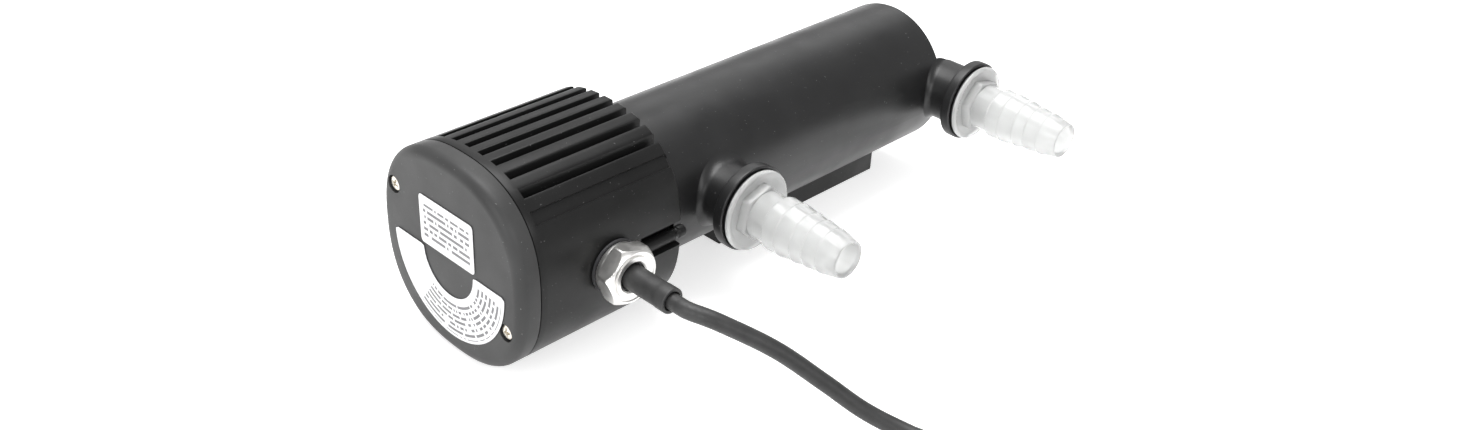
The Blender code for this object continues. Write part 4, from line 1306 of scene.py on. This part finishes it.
@dataclass
class HoseTail:
    """A frosted stepped hose tail: spigot, bevelled flange, hexagonal collar, five soft barbs, open tip."""

    name: str
    x: float
    z: float = 1.0
    spin: float = 0.0

    def build(self, look: Finishes) -> None:
        """Turns the tail's profile, with the collar's rows taking a hexagon's radius in place of a circle's.

        Args:
            look: The finishes.
        """
        outside = softened([
            (13.0, 46.2), (13.0, 57.6), (19.85, 57.6), (19.85, 58.9), (18.9, 59.7), (17.6, 59.3),
            (16.4, 58.8),
        ], 0.35, 3)
        collar = [(58.8, 1.0), (62.6, 1.0), (63.3, 0.975), (63.6, 0.94)]
        neck = softened([
            (11.7, 63.6), (11.7, 72.8), (13.1, 73.4), (13.3, 74.2), (12.8, 80.6), (13.3, 81.4), (13.2, 82.4),
            (12.0, 89.2), (12.5, 89.9), (12.4, 91.0), (11.1, 95.7), (11.8, 96.4), (11.7, 97.4), (10.7, 103.3),
            (11.15, 104.0), (11.0, 105.0), (9.1, 113.3), (8.9, 113.8), (8.3, 113.8), (7.3, 112.0),
            (7.9, 92.0),
            (9.5, 70.0), (9.5, 46.2),
        ], 0.5, 3)
        angle = np.linspace(0, 2 * np.pi, AROUND, endpoint=False)
        six = hexagon(angle, 14.4, self.spin, 0.975)
        radii = np.vstack([
            outside[:, :1] * np.ones(AROUND), np.array([share for _, share in collar])[:, None] * six,
            neck[:, :1] * np.ones(AROUND),
        ])
        heights = np.concatenate([outside[:, 1], [h for h, _ in collar], neck[:, 1]])
        item = turned(
            f"{self.name}_hose_tail", np.c_[radii[:, 0], heights], Axis.TO_TAILS, (self.x, 0, self.z), True,
            AROUND, radii, 26,
        )
        finished(item, look.clear, f"{self.name}_tail", (f"{self.name}_tail",))


@dataclass
class LampParts:
    """The pieces seen when the tube is off that are made here: sleeve, its nut and lock pin. The lamp glass and
    bayonet ring keep their CAD shapes.
    """

    def build(self, look: Finishes) -> None:
        """Makes and dresses the pieces.

        Args:
            look: The finishes.
        """
        arc = np.linspace(0, np.pi / 2, 14)
        outer = np.stack([17 * np.sin(arc), 118 - 17 * (1 - np.cos(arc))], axis=1)
        inner = np.stack([15.2 * np.sin(arc), 116.2 - 15.2 * (1 - np.cos(arc))], axis=1)[::-1]
        sleeve = turned("quartz_tube", np.vstack([outer, [(17, 0), (15.2, 0)], inner]), Axis.ALONG_TUBE,
                        (-212, 0, 0))
        finished(sleeve, look.quartz, Body.HEAD, ("quartz_sleeve",))
        angle = np.linspace(0, 2 * np.pi, 288, endpoint=False)
        profile = softened([
            (25.5, 0), (25.5, 17), (17.5, 17), (17.5, 15), (22.4, 15), (22.4, 0),
        ], 0.5)
        knurl = 1 - 0.03 * (np.sin(angle * 24) > 0.3) * (profile[:, :1] > 25)
        at = (-216.5, 0, 0)
        nut = turned("sleeve_clamp", profile, Axis.ALONG_TUBE, at, True, 288, profile[:, :1] * knurl)
        finished(nut, look.shell, Body.HEAD, ("sleeve_nut",))
        pin = softened([
            (0, 0), (3.0, 0), (3.0, 19.4), (2.4, 20.0), (2.4, 21.4), (3.0, 22.0), (3.0, 25.4),
            (2.4, 26), (0, 26),
        ], 0.4)
        lock = turned("lock_plunger", pin, Axis.ALONG_TUBE, (-224, -45, -1.5), around=64)
        finished(lock, look.shell, Body.LOCK_PIN, ("lock_pin",))


def dress_nodes(look: Finishes) -> None:
    """Gives every CAD node that stays shown its finish.

    Args:
        look: The finishes.
    """
    chosen = {
        "cover_gasket": look.rubber, "gland_washer": look.rubber, "gland_seal": look.rubber,
        "inlet_gasket": look.rubber, "outlet_gasket": look.rubber, "tube_o_ring": look.rubber,
        "sleeve_o_ring": look.rubber, "gland_locknut": look.nickel, "lamp_pin_1": look.nickel,
        "lamp_pin_2": look.nickel, "bayonet_ring": look.screw, "lampholder_screw_1": look.screw,
        "lampholder_screw_2": look.screw, "lamp_tubes": look.lamp_glass, "lamp_base": look.ceramic,
        "lampholder": look.ceramic, "terminal_block": look.ceramic, "ballast": look.enamel,
    }
    for name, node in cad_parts.items():
        if not node.hide_render:
            node.data.materials.clear()
            node.data.materials.append(chosen.get(name, look.shell))
            LOG.info("%s keeps its CAD shape", name)


def main() -> None:
    """Builds the studio, the cable and every sub-assembly in order."""
    logging.basicConfig(level=logging.INFO, format="%(message)s")
    look = Finishes.made()
    studio = Studio()
    studio.build_camera()
    Cable().build(look)
    studio.build_light()
    studio.build_floor()
    outline = HeadOutline()
    finished(HeadShell().build(outline), look.shell, Body.HEAD, ("head_housing",))
    EndCap().build(outline, look)
    Gland().build(look)
    WaterTube().build(look)
    HoseTail("inlet", -164.2, spin=0.3).build(look)
    HoseTail("outlet", 3.0, spin=0.8).build(look)
    LampParts().build(look)
    dress_nodes(look)


if __name__ == "__main__":
    main()
